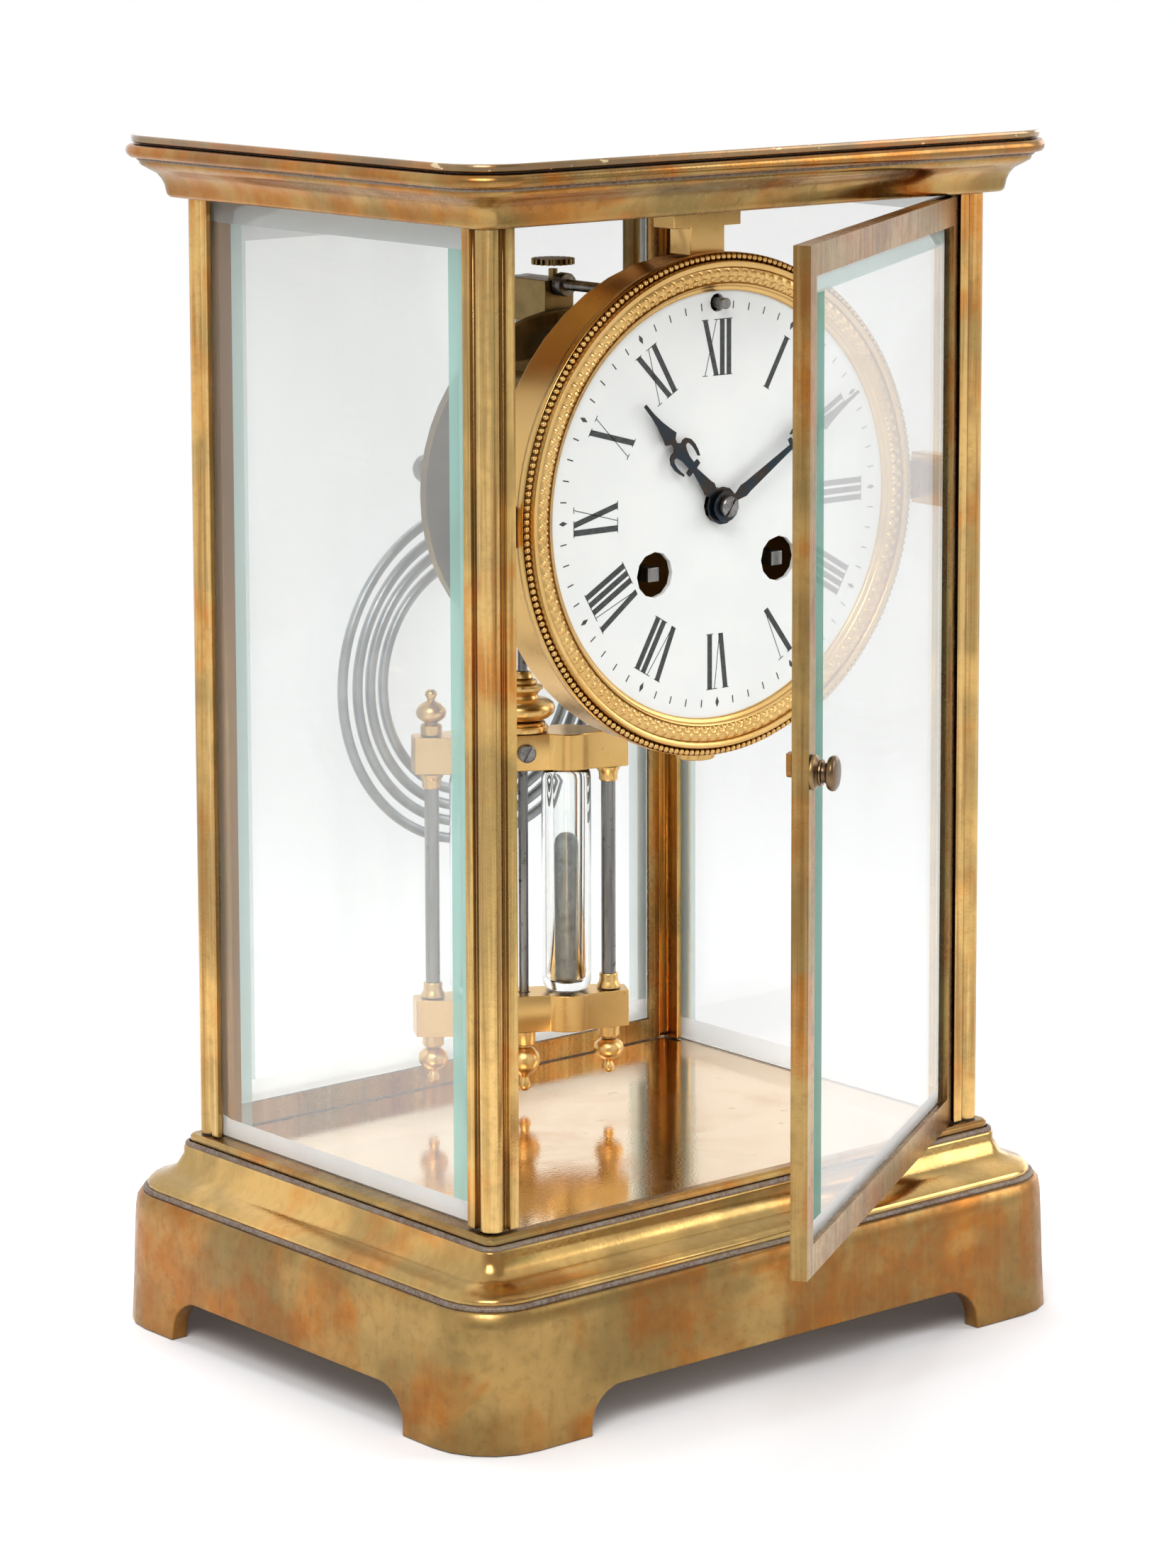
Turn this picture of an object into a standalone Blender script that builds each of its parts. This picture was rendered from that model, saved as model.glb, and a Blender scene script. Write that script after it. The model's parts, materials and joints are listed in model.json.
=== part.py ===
"""Four-glass regulator clock with a mercury pendulum.

Metres, +Z up. The clock's front faces -Y and its left side -X. The case is
modelled about its own middle, under one empty that sets the whole clock, with
its front door standing open, over the middle of its footprint at Z = 0.
"""
import math

import bmesh
import bpy
from mathutils import Vector

# Clearances and shared fineness
SEAT_GAP = 0.0003
BORE_GAP = 0.00025
OVERRUN = 0.002
WELD = 0.00001
FINE_STEPS = 48
ROUND_STEPS = 24
SMALL_STEPS = 12
TINY_STEPS = 8
CORNER_STEPS = 5

# Plinth: a hollow cast skirt on four bracket feet
PLINTH_TOP = 0.0292
PLINTH_REACH = 0.0148
PLINTH_WALL = 0.0042
PLINTH_DECK = 0.0040
SKIRT_BOTTOM = 0.0096
FRONT_FOOT_LENGTH = 0.0295
SIDE_FOOT_LENGTH = 0.0255
FOOT_COVE_WIDTH = 0.0088
FOOT_STEP = 0.0018
FOOT_COVE_STEPS = 6
CORNER_EXTRA_RADIUS = 0.0006
PLINTH_PROFILE_SHARES = ((1.0, 0.0), (0.966, 0.33), (0.945, 0.66), (0.925, 0.88), (0.895, 0.965), (0.845, 1.0))

# Base moulding: a cyma that steps in from the plinth to the floor plate
MOULDING_REACH = 0.0112
MOULDING_HEIGHT = 0.0095
MOULDING_PROFILE_SHARES = (
    (0.97, 0.0), (1.0, 0.06), (0.99, 0.17), (0.86, 0.29), (0.60, 0.38), (0.43, 0.50),
    (0.345, 0.66), (0.275, 0.80), (0.275, 0.94), (0.245, 1.0))

# Floor plate
FLOOR_REACH = 0.0016
FLOOR_THICKNESS = 0.0021
FLOOR_PROFILE_SHARES = ((0.6, 0.0), (1.0, 0.25), (1.0, 0.75), (0.6, 1.0))

# Cornice and top plate
OPENING_HEIGHT = 0.2050
COVE_REACH = 0.0097
COVE_HEIGHT = 0.0083
COVE_PROFILE_SHARES = (
    (0.32, 0.0), (0.39, 0.07), (0.41, 0.17), (0.44, 0.33), (0.50, 0.47), (0.61, 0.62),
    (0.81, 0.74), (0.96, 0.84), (1.0, 0.93), (0.99, 1.0))
TORUS_REACH = 0.0124
TORUS_HEIGHT = 0.0029
TORUS_ARC_STEPS = 6
TOP_PLATE_REACH = 0.0112
TOP_PLATE_THICKNESS = 0.0017
TOP_PLATE_PROFILE_SHARES = ((0.98, 0.0), (1.0, 0.2), (1.0, 0.8), (0.97, 1.0))

# Corner pillars: a round column between two flat strips
COLUMN_RADIUS = 0.0025
GROOVE_WIDTH = 0.0004
GROOVE_DEPTH = 0.0012
STRIP_WIDTH = 0.0024
STRIP_RECESS = 0.00025
PILLAR_SIDE_LIP = 0.0016
PILLAR_DOOR_DEPTH = 0.0032
GLASS_SLOT_DEPTH = 0.0020
COLUMN_ARC_STEPS = 9

# Side glasses
SIDE_GLASS_THICKNESS = 0.0030
SIDE_GLASS_SETBACK = 0.00165
GLASS_BEVEL_WIDTH = 0.0045
GLASS_BEVEL_DEPTH = 0.0012

# Doors
DOOR_THICKNESS = 0.0035
DOOR_SIDE_GAP = 0.00035
DOOR_TOP_GAP = 0.0006
HINGE_RADIUS = 0.0015
STILE_WIDTH = 0.0046
RAIL_WIDTH = 0.0062
REBATE_WIDTH = 0.0015
DOOR_LIP = 0.0010
DOOR_GLASS_THICKNESS = 0.0019
DOOR_PIN_RADIUS = 0.0010
DOOR_PIN_LENGTH = 0.0014
FRONT_DOOR_REST_DEG = 32.5
HINGE_ROUND_STEPS = 5

# Door knobs and their turning catches
KNOB_RISE = 0.1015
KNOB_RADIUS = 0.0035
KNOB_LENGTH = 0.0053
KNOB_PROFILE_SHARES = (
    (0.0, 1.0), (0.86, 0.97), (1.0, 0.86), (1.0, 0.70), (0.90, 0.60), (0.62, 0.57), (0.60, 0.46),
    (0.72, 0.38), (0.70, 0.26), (0.84, 0.16), (1.0, 0.08), (1.0, 0.0))
SPINDLE_RADIUS = 0.0009
CATCH_REACH = 0.0036
CATCH_WIDTH = 0.0026
CATCH_THICKNESS = 0.0011

# Movement plates and their pillars
SWING_RISE = 0.0314
PLATE_RIM = 0.0058
PLATE_THICKNESS = 0.0020
PLATE_SPACING = 0.0351
MOVEMENT_PILLAR_RADIUS = 0.0022
MOVEMENT_PILLAR_INSET = 0.0047
MOVEMENT_PILLAR_ANGLES_DEG = (48.0, 132.0, 270.0)
MOVEMENT_BAR_HALF_WIDTH = 0.0026
MOVEMENT_BAR_INSET = 0.0005
MOVEMENT_BAR_HEIGHT = 0.0030

# Barrels and winding squares
GOING_WHEEL_RADIUS = 0.0166
STRIKE_WHEEL_RADIUS = 0.0159
BARREL_GAP = 0.0019
BARREL_LENGTH = 0.0170
BARREL_WHEEL_THICKNESS = 0.0022
BARREL_TOOTH_DEPTH = 0.0012
BARREL_PLATE_GAP = 0.0044
WINDING_HOLE_DROP = 0.0131
WINDING_ARBOR_RADIUS = 0.0026
WINDING_SQUARE_HALF = 0.0015
WINDING_SQUARE_LENGTH = 0.0090
WINDING_TIP_SETBACK = 0.0004

# Dial
DIAL_SETBACK = 0.0093
ENAMEL_RIM = 0.0020
ENAMEL_THICKNESS = 0.0012
WINDING_HOLE_MARGIN = 0.0022
REGULATOR_HOLE_RISE_PAST_PLATE = 0.0053
REGULATOR_HOLE_MARGIN = 0.0007
HANDS_HOLE_RADIUS = 0.0036

# Bezel: a cast ring with a domed face
BEZEL_OVERLAP = 0.0014
BEZEL_FRONT_RISE = 0.0021
BEZEL_BACK_DROP = 0.0016
BEZEL_PAN_OVERHANG = 0.0010
BEZEL_FACE_SHARES = (
    (1.0, 0.30), (0.985, 0.46), (0.965, 0.50), (0.94, 0.78), (0.91, 1.0), (0.885, 0.96),
    (0.872, 0.62), (0.849, 0.30))

# Dial pan: the drum behind the bezel
PAN_RIM = 0.0056
PAN_WALL = 0.0010
DRUM_DEPTH = 0.0120
PAN_BACK_THICKNESS = 0.0012
BEZEL_NUT_RADIUS = 0.00415
BEZEL_NUT_HEIGHT = 0.0015
BEZEL_NUT_NECK_RADIUS = 0.0015

# What carries the drum: a T block above it, an arm at each side, a rear post
T_BLOCK_SETBACK = 0.0012
T_BLOCK_DEPTH = 0.0066
T_FLANGE_HALF_WIDTH = 0.00925
T_STEM_HALF_WIDTH = 0.0047
T_STEM_HEIGHT = 0.0058
T_FLANGE_HEIGHT = 0.0042
ARM_LENGTH = 0.0104
ARM_HALF_HEIGHT = 0.0042
ARM_FLARE_HALF_HEIGHT = 0.0056
ARM_DEPTH = 0.0034
ARM_FOOT_ADVANCE = 0.0062
ARM_FOOT_WIDTH = 0.0040
POST_STANDOFF = 0.0155
POST_RADIUS = 0.00195
POST_EYE_RADIUS = 0.0032

# Centre arbor, motion work and hands
CENTRE_WHEEL_RADIUS = 0.0100
CENTRE_WHEEL_THICKNESS = 0.0012
CENTRE_WHEEL_PLATE_GAP = 0.0026
CENTRE_ARBOR_RADIUS = 0.0011
HOUR_PIPE_RADIUS = 0.0028
HOUR_PIPE_DEPTH = 0.0048
HOUR_HAND_LIFT = 0.0016
MINUTE_HAND_LIFT = 0.0013
HAND_THICKNESS = 0.0004
HAND_NUT_RADIUS = 0.0022
HAND_NUT_HEIGHT = 0.0011
HOUR_HAND_LENGTH = 0.0310
HOUR_HAND_HALF_WIDTH = 0.0038
HOUR_HAND_CLOCK_DEG = -43.0
HOUR_HAND_HUB_RADIUS = 0.0040
HOUR_HAND_ROOT_SHARE = 0.32
HOUR_HAND_SHARES = (
    (0.447, 0.1677), (0.368, 0.2), (0.158, 0.3613), (0.526, 0.3645), (0.526, 0.4), (0.237, 0.4032),
    (0.263, 0.471), (0.355, 0.5161), (0.474, 0.5452), (0.632, 0.5484), (0.75, 0.529), (0.789, 0.4903),
    (0.763, 0.4484), (0.697, 0.4113), (0.789, 0.4), (0.921, 0.4419), (1, 0.4903), (0.974, 0.5419),
    (0.789, 0.5806), (0.553, 0.5903), (0.368, 0.5839), (0.211, 0.6), (0.145, 0.6194), (0.211, 0.6452),
    (0.5, 0.671), (0.368, 0.729), (0.211, 0.8129), (0.118, 0.9032), (0.0921, 1))
MINUTE_HAND_LENGTH = 0.0415
MINUTE_HAND_HALF_WIDTH = 0.0032
MINUTE_HAND_CLOCK_DEG = 59.0
MINUTE_HAND_HUB_RADIUS = 0.0033
MINUTE_HAND_ROOT_SHARE = 0.22
MINUTE_HAND_SHARES = (
    (0.437, 0.1349), (0.375, 0.1687), (0.172, 0.5108), (0.562, 0.5133), (0.562, 0.5349),
    (0.234, 0.5373), (0.266, 0.5783), (0.359, 0.6072), (0.484, 0.6241), (0.641, 0.6265),
    (0.75, 0.6145), (0.797, 0.5904), (0.766, 0.5639), (0.703, 0.5434), (0.797, 0.5361),
    (0.922, 0.5614), (1, 0.5904), (0.969, 0.6241), (0.781, 0.6482), (0.562, 0.6554), (0.375, 0.6506),
    (0.219, 0.6627), (0.141, 0.6771), (0.203, 0.6964), (0.484, 0.7133), (0.359, 0.7518),
    (0.187, 0.8434), (0.109, 0.9277), (0.0937, 1))
HUB_STEPS = 6

# Escapement
ESCAPE_WHEEL_RADIUS = 0.0080
ESCAPE_WHEEL_ROOT_SHARE = 0.78
ESCAPE_TEETH = 30
ESCAPE_WHEEL_THICKNESS = 0.0009
ESCAPE_PLATE_GAP = 0.0064
ESCAPE_DROP = 0.0118
ARBOR_RADIUS = 0.0008
ANCHOR_HALF_SPAN = 0.0072
ANCHOR_DROP = 0.0046
ANCHOR_BAR = 0.0017
ANCHOR_THICKNESS = 0.0012
CRUTCH_STANDOFF = 0.0028
CRUTCH_LENGTH = 0.0260
CRUTCH_WIDTH = 0.0020
CRUTCH_FORK_HEIGHT = 0.0018
CRUTCH_FORK_PAST_ROD = 0.0020
CRUTCH_FORK_GAP = 0.00045
CRUTCH_FORK_BAR = 0.0010

# Suspension bracket with its rating gear
BRACKET_HALF_GAP = 0.0024
BRACKET_CHEEK = 0.0016
BRACKET_PAST_SPRING = 0.0007
BRACKET_HEIGHT = 0.0092
BRACKET_PLATE_HEIGHT = 0.0036
REGULATOR_ARBOR_RADIUS = 0.0012
REGULATOR_PINION_RADIUS = 0.0026
REGULATOR_PINION_LENGTH = 0.0026
REGULATOR_TIP_LIFT = 0.0030
CROWN_WHEEL_RADIUS = 0.0047
CROWN_WHEEL_THICKNESS = 0.0015
CROWN_STEM_RADIUS = 0.0010
SPRING_WIDTH = 0.0032
SPRING_THICKNESS = 0.0005
SPRING_BLOCK_HALF = 0.0018
SPRING_BLOCK_HEIGHT = 0.0028

# Pendulum
PENDULUM_STANDOFF = 0.0135
PENDULUM_TWIST_DEG = -29.0
ROD_RADIUS = 0.0011
HOOK_RADIUS = 0.0021
HOOK_HEIGHT = 0.0032
BOB_FLOOR_GAP = 0.0031
BOB_GONG_ARM_GAP = 0.01304
BOB_PLATE_HEIGHT = 0.0082
BOB_PLATE_HALF_LENGTH = 0.0233
BOB_PLATE_HALF_DEPTH = 0.0046
BOB_END_HALF_DEPTH = 0.0027
VIAL_LOBE_MARGIN = 0.0009
BOB_OUTLINE_STEPS = 7
BOB_KNOB_HEIGHT = 0.0132
BOB_KNOB_RADIUS = 0.0072
BOB_KNOB_PROFILE_SHARES = (
    (0.19, 1.0), (0.30, 0.93), (0.40, 0.80), (0.62, 0.72), (0.62, 0.66), (0.50, 0.60), (0.56, 0.54),
    (0.88, 0.48), (1.0, 0.38), (0.97, 0.28), (0.74, 0.18), (0.60, 0.15), (0.70, 0.09), (0.70, 0.0))
VIAL_ROD_GAP = 0.0031
VIAL_RADIUS = 0.0055
VIAL_WALL = 0.0024
VIAL_FLOOR = 0.0016
MERCURY_DEPTH_SHARE = 0.6594
SIDE_ROD_INSET = 0.0041
SIDE_ROD_RADIUS = 0.0016
ROD_CUP_RADIUS = 0.0024
ROD_CUP_HEIGHT = 0.0032
FINIAL_RADIUS = 0.0034
TOP_FINIAL_HEIGHT = 0.0100
BOTTOM_FINIAL_HEIGHT = 0.0108
FINIAL_PROFILE_SHARES = (
    (0.0, 1.0), (0.36, 0.96), (0.44, 0.87), (0.34, 0.77), (0.26, 0.73), (0.52, 0.66), (0.88, 0.58),
    (1.0, 0.46), (0.82, 0.34), (0.44, 0.27), (0.40, 0.22), (0.68, 0.18), (0.68, 0.0))
CENTRE_FINIAL_HEIGHT = 0.0138
CENTRE_FINIAL_RADIUS = 0.0036
PLATE_SCREW_RADIUS = 0.0020
PLATE_SCREW_HEIGHT = 0.0011

# Gong: one steel rod wound in a flat spiral
GONG_X = 0.0042
GONG_DROP = 0.0482
GONG_BOB_GAP = 0.0026
GONG_SETBACK = 0.0093
GONG_OUTER_RADIUS = 0.0393
GONG_PITCH = 0.00374
GONG_ROD_RADIUS = 0.00125
GONG_START_DEG = 60.0
GONG_TURNS = 4.08
GONG_POINTS_PER_TURN = 24
GONG_BLOCK_LENGTH = 0.0056
GONG_BLOCK_HEIGHT = 0.0034
GONG_BLOCK_DEPTH = 0.0058
GONG_BLOCK_GAP = 0.0005
GONG_BAR_INSET = 0.0053
GONG_BAR_HEIGHT = 0.0034
GONG_BAR_DEPTH = 0.0040
GONG_ARM_X = 0.0115
GONG_ARM_RADIUS = 0.0017

# Strike hammer
HAMMER_X = -0.0096
HAMMER_GONG_GAP = 0.0040
HAMMER_RADIUS = 0.0034
HAMMER_SHANK_RADIUS = 0.0008
HAMMER_ARM_LENGTH = 0.0225
HAMMER_STANDOFF = 0.0022
HAMMER_PIVOT_RADIUS = 0.0014
HAMMER_ARM_WIDTH = 0.0024
HAMMER_ARM_THICKNESS = 0.0012

# Dial and drum, worked out from the movement
PLATE_RADIUS = SWING_RISE + PLATE_RIM
REGULATOR_HOLE_RISE = PLATE_RADIUS + REGULATOR_HOLE_RISE_PAST_PLATE
REGULATOR_HOLE_RADIUS = REGULATOR_ARBOR_RADIUS + REGULATOR_HOLE_MARGIN
ENAMEL_RADIUS = REGULATOR_HOLE_RISE + REGULATOR_HOLE_RADIUS + ENAMEL_RIM
BEZEL_OPENING_RADIUS = ENAMEL_RADIUS - BEZEL_OVERLAP
PAN_RADIUS = ENAMEL_RADIUS + PAN_RIM
BEZEL_RADIUS = PAN_RADIUS + BEZEL_PAN_OVERHANG
WINDING_HOLE_X = (GOING_WHEEL_RADIUS + STRIKE_WHEEL_RADIUS + BARREL_GAP) / 2
WINDING_HOLE_RADIUS = WINDING_ARBOR_RADIUS + WINDING_HOLE_MARGIN
MOVEMENT_PILLAR_CIRCLE = PLATE_RADIUS - MOVEMENT_PILLAR_INSET
CENTRE_PINION_RADIUS = math.hypot(WINDING_HOLE_X, WINDING_HOLE_DROP) - GOING_WHEEL_RADIUS - SEAT_GAP
HOUR_PIPE_BORE_RADIUS = CENTRE_ARBOR_RADIUS + BORE_GAP

# Case, worked out from what it holds
PILLAR_FACE = 2 * COLUMN_RADIUS + GROOVE_WIDTH + STRIP_WIDTH
PILLAR_SIDE_DEPTH = SIDE_GLASS_SETBACK + SIDE_GLASS_THICKNESS + PILLAR_SIDE_LIP
CASE_HALF_WIDTH = PAN_RADIUS + 2 * SEAT_GAP + ARM_LENGTH + PILLAR_SIDE_DEPTH
TWIST = math.radians(PENDULUM_TWIST_DEG)
BOB_REACH = BOB_PLATE_HALF_LENGTH * abs(math.sin(TWIST)) + BOB_PLATE_HALF_DEPTH * math.cos(TWIST)
DRUM_TO_BACK_PLATE = DRUM_DEPTH + SEAT_GAP + PLATE_THICKNESS + PLATE_SPACING
CASE_HALF_DEPTH = (DIAL_SETBACK + DRUM_TO_BACK_PLATE + PLATE_THICKNESS + PENDULUM_STANDOFF + BOB_REACH
                   + GONG_BOB_GAP + GONG_ROD_RADIUS + GONG_SETBACK) / 2
MOULDING_TOP = PLINTH_TOP + SEAT_GAP + MOULDING_HEIGHT
CASE_FLOOR = MOULDING_TOP + SEAT_GAP + FLOOR_THICKNESS
CORNICE_FOOT = CASE_FLOOR + OPENING_HEIGHT
COVE_TOP = CORNICE_FOOT + COVE_HEIGHT
TORUS_TOP = COVE_TOP + SEAT_GAP + TORUS_HEIGHT
TOP_PLATE_TOP = TORUS_TOP + SEAT_GAP + TOP_PLATE_THICKNESS
PILLAR_HEIGHT = OPENING_HEIGHT - 2 * SEAT_GAP
PILLAR_FOOT = CASE_FLOOR + SEAT_GAP
DOOR_HALF_WIDTH = CASE_HALF_WIDTH - PILLAR_FACE - DOOR_SIDE_GAP
DOOR_FOOT = CASE_FLOOR + SEAT_GAP
DOOR_HEIGHT = CORNICE_FOOT - DOOR_TOP_GAP - DOOR_FOOT
KNOB_HEIGHT = DOOR_FOOT + KNOB_RISE
HINGE_X = DOOR_HALF_WIDTH - HINGE_RADIUS
HINGE_Y = CASE_HALF_DEPTH - HINGE_RADIUS

# Heights, worked out downwards from the cornice and upwards from the floor
FOOT_COVE_HEIGHT = SKIRT_BOTTOM - FOOT_STEP
DIAL_HEIGHT = CORNICE_FOOT - SEAT_GAP - T_FLANGE_HEIGHT - T_STEM_HEIGHT - SEAT_GAP - PAN_RADIUS
WINDING_HEIGHT = DIAL_HEIGHT - WINDING_HOLE_DROP
SWING_HEIGHT = DIAL_HEIGHT + SWING_RISE
REGULATOR_HEIGHT = DIAL_HEIGHT + REGULATOR_HOLE_RISE
MOVEMENT_BAR_TOP = DIAL_HEIGHT + PLATE_RADIUS - MOVEMENT_BAR_INSET
BRACKET_FOOT = SWING_HEIGHT + SPRING_BLOCK_HEIGHT
BRACKET_TOP = BRACKET_FOOT + BRACKET_HEIGHT
GONG_HEIGHT = DIAL_HEIGHT - GONG_DROP
GONG_INNER_RADIUS = GONG_OUTER_RADIUS - GONG_PITCH * GONG_TURNS
GONG_BAR_MIDDLE = GONG_HEIGHT + GONG_INNER_RADIUS - GONG_BAR_INSET
LOWER_PLATE_FOOT = CASE_FLOOR + BOB_FLOOR_GAP + CENTRE_FINIAL_HEIGHT + 2 * SEAT_GAP
BOB_TOP = GONG_BAR_MIDDLE - GONG_ARM_RADIUS - BOB_GONG_ARM_GAP
LOWER_PLATE_TOP = LOWER_PLATE_FOOT + BOB_PLATE_HEIGHT
UPPER_PLATE_TOP = BOB_TOP - BOB_KNOB_HEIGHT - SEAT_GAP
UPPER_PLATE_FOOT = UPPER_PLATE_TOP - BOB_PLATE_HEIGHT
VIAL_FOOT = LOWER_PLATE_TOP + SEAT_GAP
VIAL_TOP = UPPER_PLATE_FOOT - SEAT_GAP
MERCURY_DEPTH = MERCURY_DEPTH_SHARE * (VIAL_TOP - VIAL_FOOT)
HAMMER_HEIGHT = GONG_HEIGHT + GONG_OUTER_RADIUS + GONG_ROD_RADIUS + HAMMER_GONG_GAP + HAMMER_RADIUS

# Depths, worked out backwards from the case's front
DIAL_FACE_Y = DIAL_SETBACK - CASE_HALF_DEPTH
PAN_FRONT_Y = DIAL_FACE_Y + BEZEL_BACK_DROP + SEAT_GAP
PAN_BACK_Y = DIAL_FACE_Y + DRUM_DEPTH
FRONT_PLATE_BACK_Y = PAN_BACK_Y + SEAT_GAP + PLATE_THICKNESS
BACK_PLATE_FRONT_Y = FRONT_PLATE_BACK_Y + PLATE_SPACING
BACK_PLATE_BACK_Y = BACK_PLATE_FRONT_Y + PLATE_THICKNESS
WINDING_TIP_Y = DIAL_FACE_Y + WINDING_TIP_SETBACK
BARREL_BACK_Y = BACK_PLATE_FRONT_Y - BARREL_PLATE_GAP
CENTRE_WHEEL_Y = BACK_PLATE_FRONT_Y - CENTRE_WHEEL_PLATE_GAP
ESCAPE_WHEEL_Y = BACK_PLATE_FRONT_Y - ESCAPE_PLATE_GAP
POST_Y = PAN_BACK_Y + POST_STANDOFF
HOUR_HAND_Y = DIAL_FACE_Y - HOUR_HAND_LIFT
HOUR_PIPE_BACK_Y = HOUR_HAND_Y + HOUR_PIPE_DEPTH
MINUTE_HAND_Y = HOUR_HAND_Y - MINUTE_HAND_LIFT
REGULATOR_TIP_Y = DIAL_FACE_Y - REGULATOR_TIP_LIFT
REGULATOR_BACK_Y = BACK_PLATE_BACK_Y
CROWN_WHEEL_Y = REGULATOR_BACK_Y - REGULATOR_PINION_LENGTH + CROWN_WHEEL_RADIUS + SEAT_GAP
CRUTCH_Y = BACK_PLATE_BACK_Y + CRUTCH_STANDOFF
HAMMER_ARM_Y = BACK_PLATE_BACK_Y + HAMMER_STANDOFF
PENDULUM_Y = BACK_PLATE_BACK_Y + PENDULUM_STANDOFF
BRACKET_BACK_Y = PENDULUM_Y + SPRING_BLOCK_HALF + BRACKET_PAST_SPRING
GONG_Y = PENDULUM_Y + BOB_REACH + GONG_BOB_GAP + GONG_ROD_RADIUS

# Places on the pendulum and the gong, worked out from their pieces
VIAL_OFFSET = ROD_RADIUS + VIAL_ROD_GAP + VIAL_RADIUS
VIAL_BORE_RADIUS = VIAL_RADIUS - VIAL_WALL
VIAL_LOBE_RADIUS = VIAL_RADIUS + VIAL_LOBE_MARGIN
SIDE_ROD_OFFSET = BOB_PLATE_HALF_LENGTH - SIDE_ROD_INSET
HAMMER_PIVOT_X = HAMMER_X + HAMMER_ARM_LENGTH

FRONT = (math.radians(90), 0.0, 0.0)
PARTS_NAME = "regulator_clock"
CUTTERS_NAME = "cutters"


def start_scene():
    for obj in list(bpy.data.objects):
        bpy.data.objects.remove(obj, do_unlink=True)
    for name in (PARTS_NAME, CUTTERS_NAME):
        collection = bpy.data.collections.new(name)
        bpy.context.scene.collection.children.link(collection)


def make_material(name, colour, metallic, roughness, transmission=0.0):
    material = bpy.data.materials.new(name)
    material.use_nodes = True
    shader = material.node_tree.nodes["Principled BSDF"]
    shader.inputs["Base Color"].default_value = (*colour, 1.0)
    shader.inputs["Metallic"].default_value = metallic
    shader.inputs["Roughness"].default_value = roughness
    shader.inputs["Transmission Weight"].default_value = transmission
    return material


def make_materials():
    return {
        "toned_brass": make_material("toned_brass", (0.46, 0.31, 0.12), 1.0, 0.32),
        "gilt_brass": make_material("gilt_brass", (0.80, 0.53, 0.20), 1.0, 0.34),
        "floor_brass": make_material("floor_brass", (0.90, 0.66, 0.46), 1.0, 0.12),
        "dark_brass": make_material("dark_brass", (0.16, 0.11, 0.06), 1.0, 0.45),
        "bronze": make_material("bronze", (0.13, 0.09, 0.06), 1.0, 0.36),
        "steel": make_material("steel", (0.42, 0.42, 0.41), 1.0, 0.42),
        "blued_steel": make_material("blued_steel", (0.02, 0.025, 0.05), 1.0, 0.30),
        "gong_steel": make_material("gong_steel", (0.20, 0.22, 0.24), 1.0, 0.45),
        "enamel": make_material("enamel", (0.86, 0.86, 0.84), 0.0, 0.12),
        "glass": make_material("glass", (0.80, 0.93, 0.89), 0.0, 0.03, 0.95),
        "mercury": make_material("mercury", (0.62, 0.62, 0.62), 1.0, 0.14),
    }


def add_object(name, mesh, material, parent, location=(0, 0, 0), rotation=(0, 0, 0)):
    obj = bpy.data.objects.new(name, mesh)
    bpy.data.collections[PARTS_NAME].objects.link(obj)
    if material is not None:
        mesh.materials.append(material)
    obj.parent = parent
    obj.location = location
    obj.rotation_euler = rotation
    return obj


def add_empty(name, parent, location=(0, 0, 0), rotation=(0, 0, 0)):
    empty = bpy.data.objects.new(name, None)
    empty.empty_display_size = KNOB_LENGTH
    bpy.data.collections[PARTS_NAME].objects.link(empty)
    empty.parent = parent
    empty.location = location
    empty.rotation_euler = rotation
    return empty


def as_cutter(cutter):
    cutter.hide_render = True
    cutter.display_type = "WIRE"
    for collection in list(cutter.users_collection):
        collection.objects.unlink(cutter)
    bpy.data.collections[CUTTERS_NAME].objects.link(cutter)
    return cutter


def combine(target, other, operation="DIFFERENCE"):
    as_cutter(other)
    modifier = target.modifiers.new(operation.lower(), "BOOLEAN")
    modifier.operation = operation
    modifier.solver = "EXACT"
    modifier.object = other
    return target


def mesh_from_bmesh(name, bm):
    bmesh.ops.recalc_face_normals(bm, faces=bm.faces)
    mesh = bpy.data.meshes.new(name)
    bm.to_mesh(mesh)
    bm.free()
    return mesh


def box(name, low, high, material, parent):
    bm = bmesh.new()
    bmesh.ops.create_cube(bm, size=1.0)
    size = Vector(high) - Vector(low)
    middle = (Vector(high) + Vector(low)) / 2
    bmesh.ops.scale(bm, vec=size, verts=bm.verts)
    return add_object(name, mesh_from_bmesh(name, bm), material, parent, middle)


def rounded_rectangle(half_x, half_y, radius, steps=CORNER_STEPS):
    points = []
    for corner, (sx, sy) in enumerate(((1, 1), (-1, 1), (-1, -1), (1, -1))):
        for step in range(steps + 1):
            angle = math.radians(90) * (corner + step / steps)
            points.append((sx * (half_x - radius) + radius * math.cos(angle),
                           sy * (half_y - radius) + radius * math.sin(angle)))
    return points


def loft(name, rings, material, parent, location=(0, 0, 0), rotation=(0, 0, 0)):
    """Join closed rings of equally many points, bottom to top, and cap both ends."""
    bm = bmesh.new()
    edges = []
    caps = []
    for ring in rings:
        verts = [bm.verts.new(point) for point in ring]
        pairs = zip(verts, verts[1:] + verts[:1])
        edges.append([bm.edges.new(pair) for pair in pairs])
        caps.append(verts)
    for lower, upper in zip(edges, edges[1:]):
        bmesh.ops.bridge_loops(bm, edges=lower + upper)
    bm.faces.new(caps[0])
    bm.faces.new(caps[-1])
    return add_object(name, mesh_from_bmesh(name, bm), material, parent, location, rotation)


def moulded_slab(name, levels, material, parent):
    """A slab round the case. Each level is its reach past the case and its height."""
    rings = []
    for reach, height in levels:
        outline = rounded_rectangle(CASE_HALF_WIDTH + reach, CASE_HALF_DEPTH + reach,
                                    reach + CORNER_EXTRA_RADIUS)
        rings.append([(x, y, height) for x, y in outline])
    return loft(name, rings, material, parent)


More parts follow.
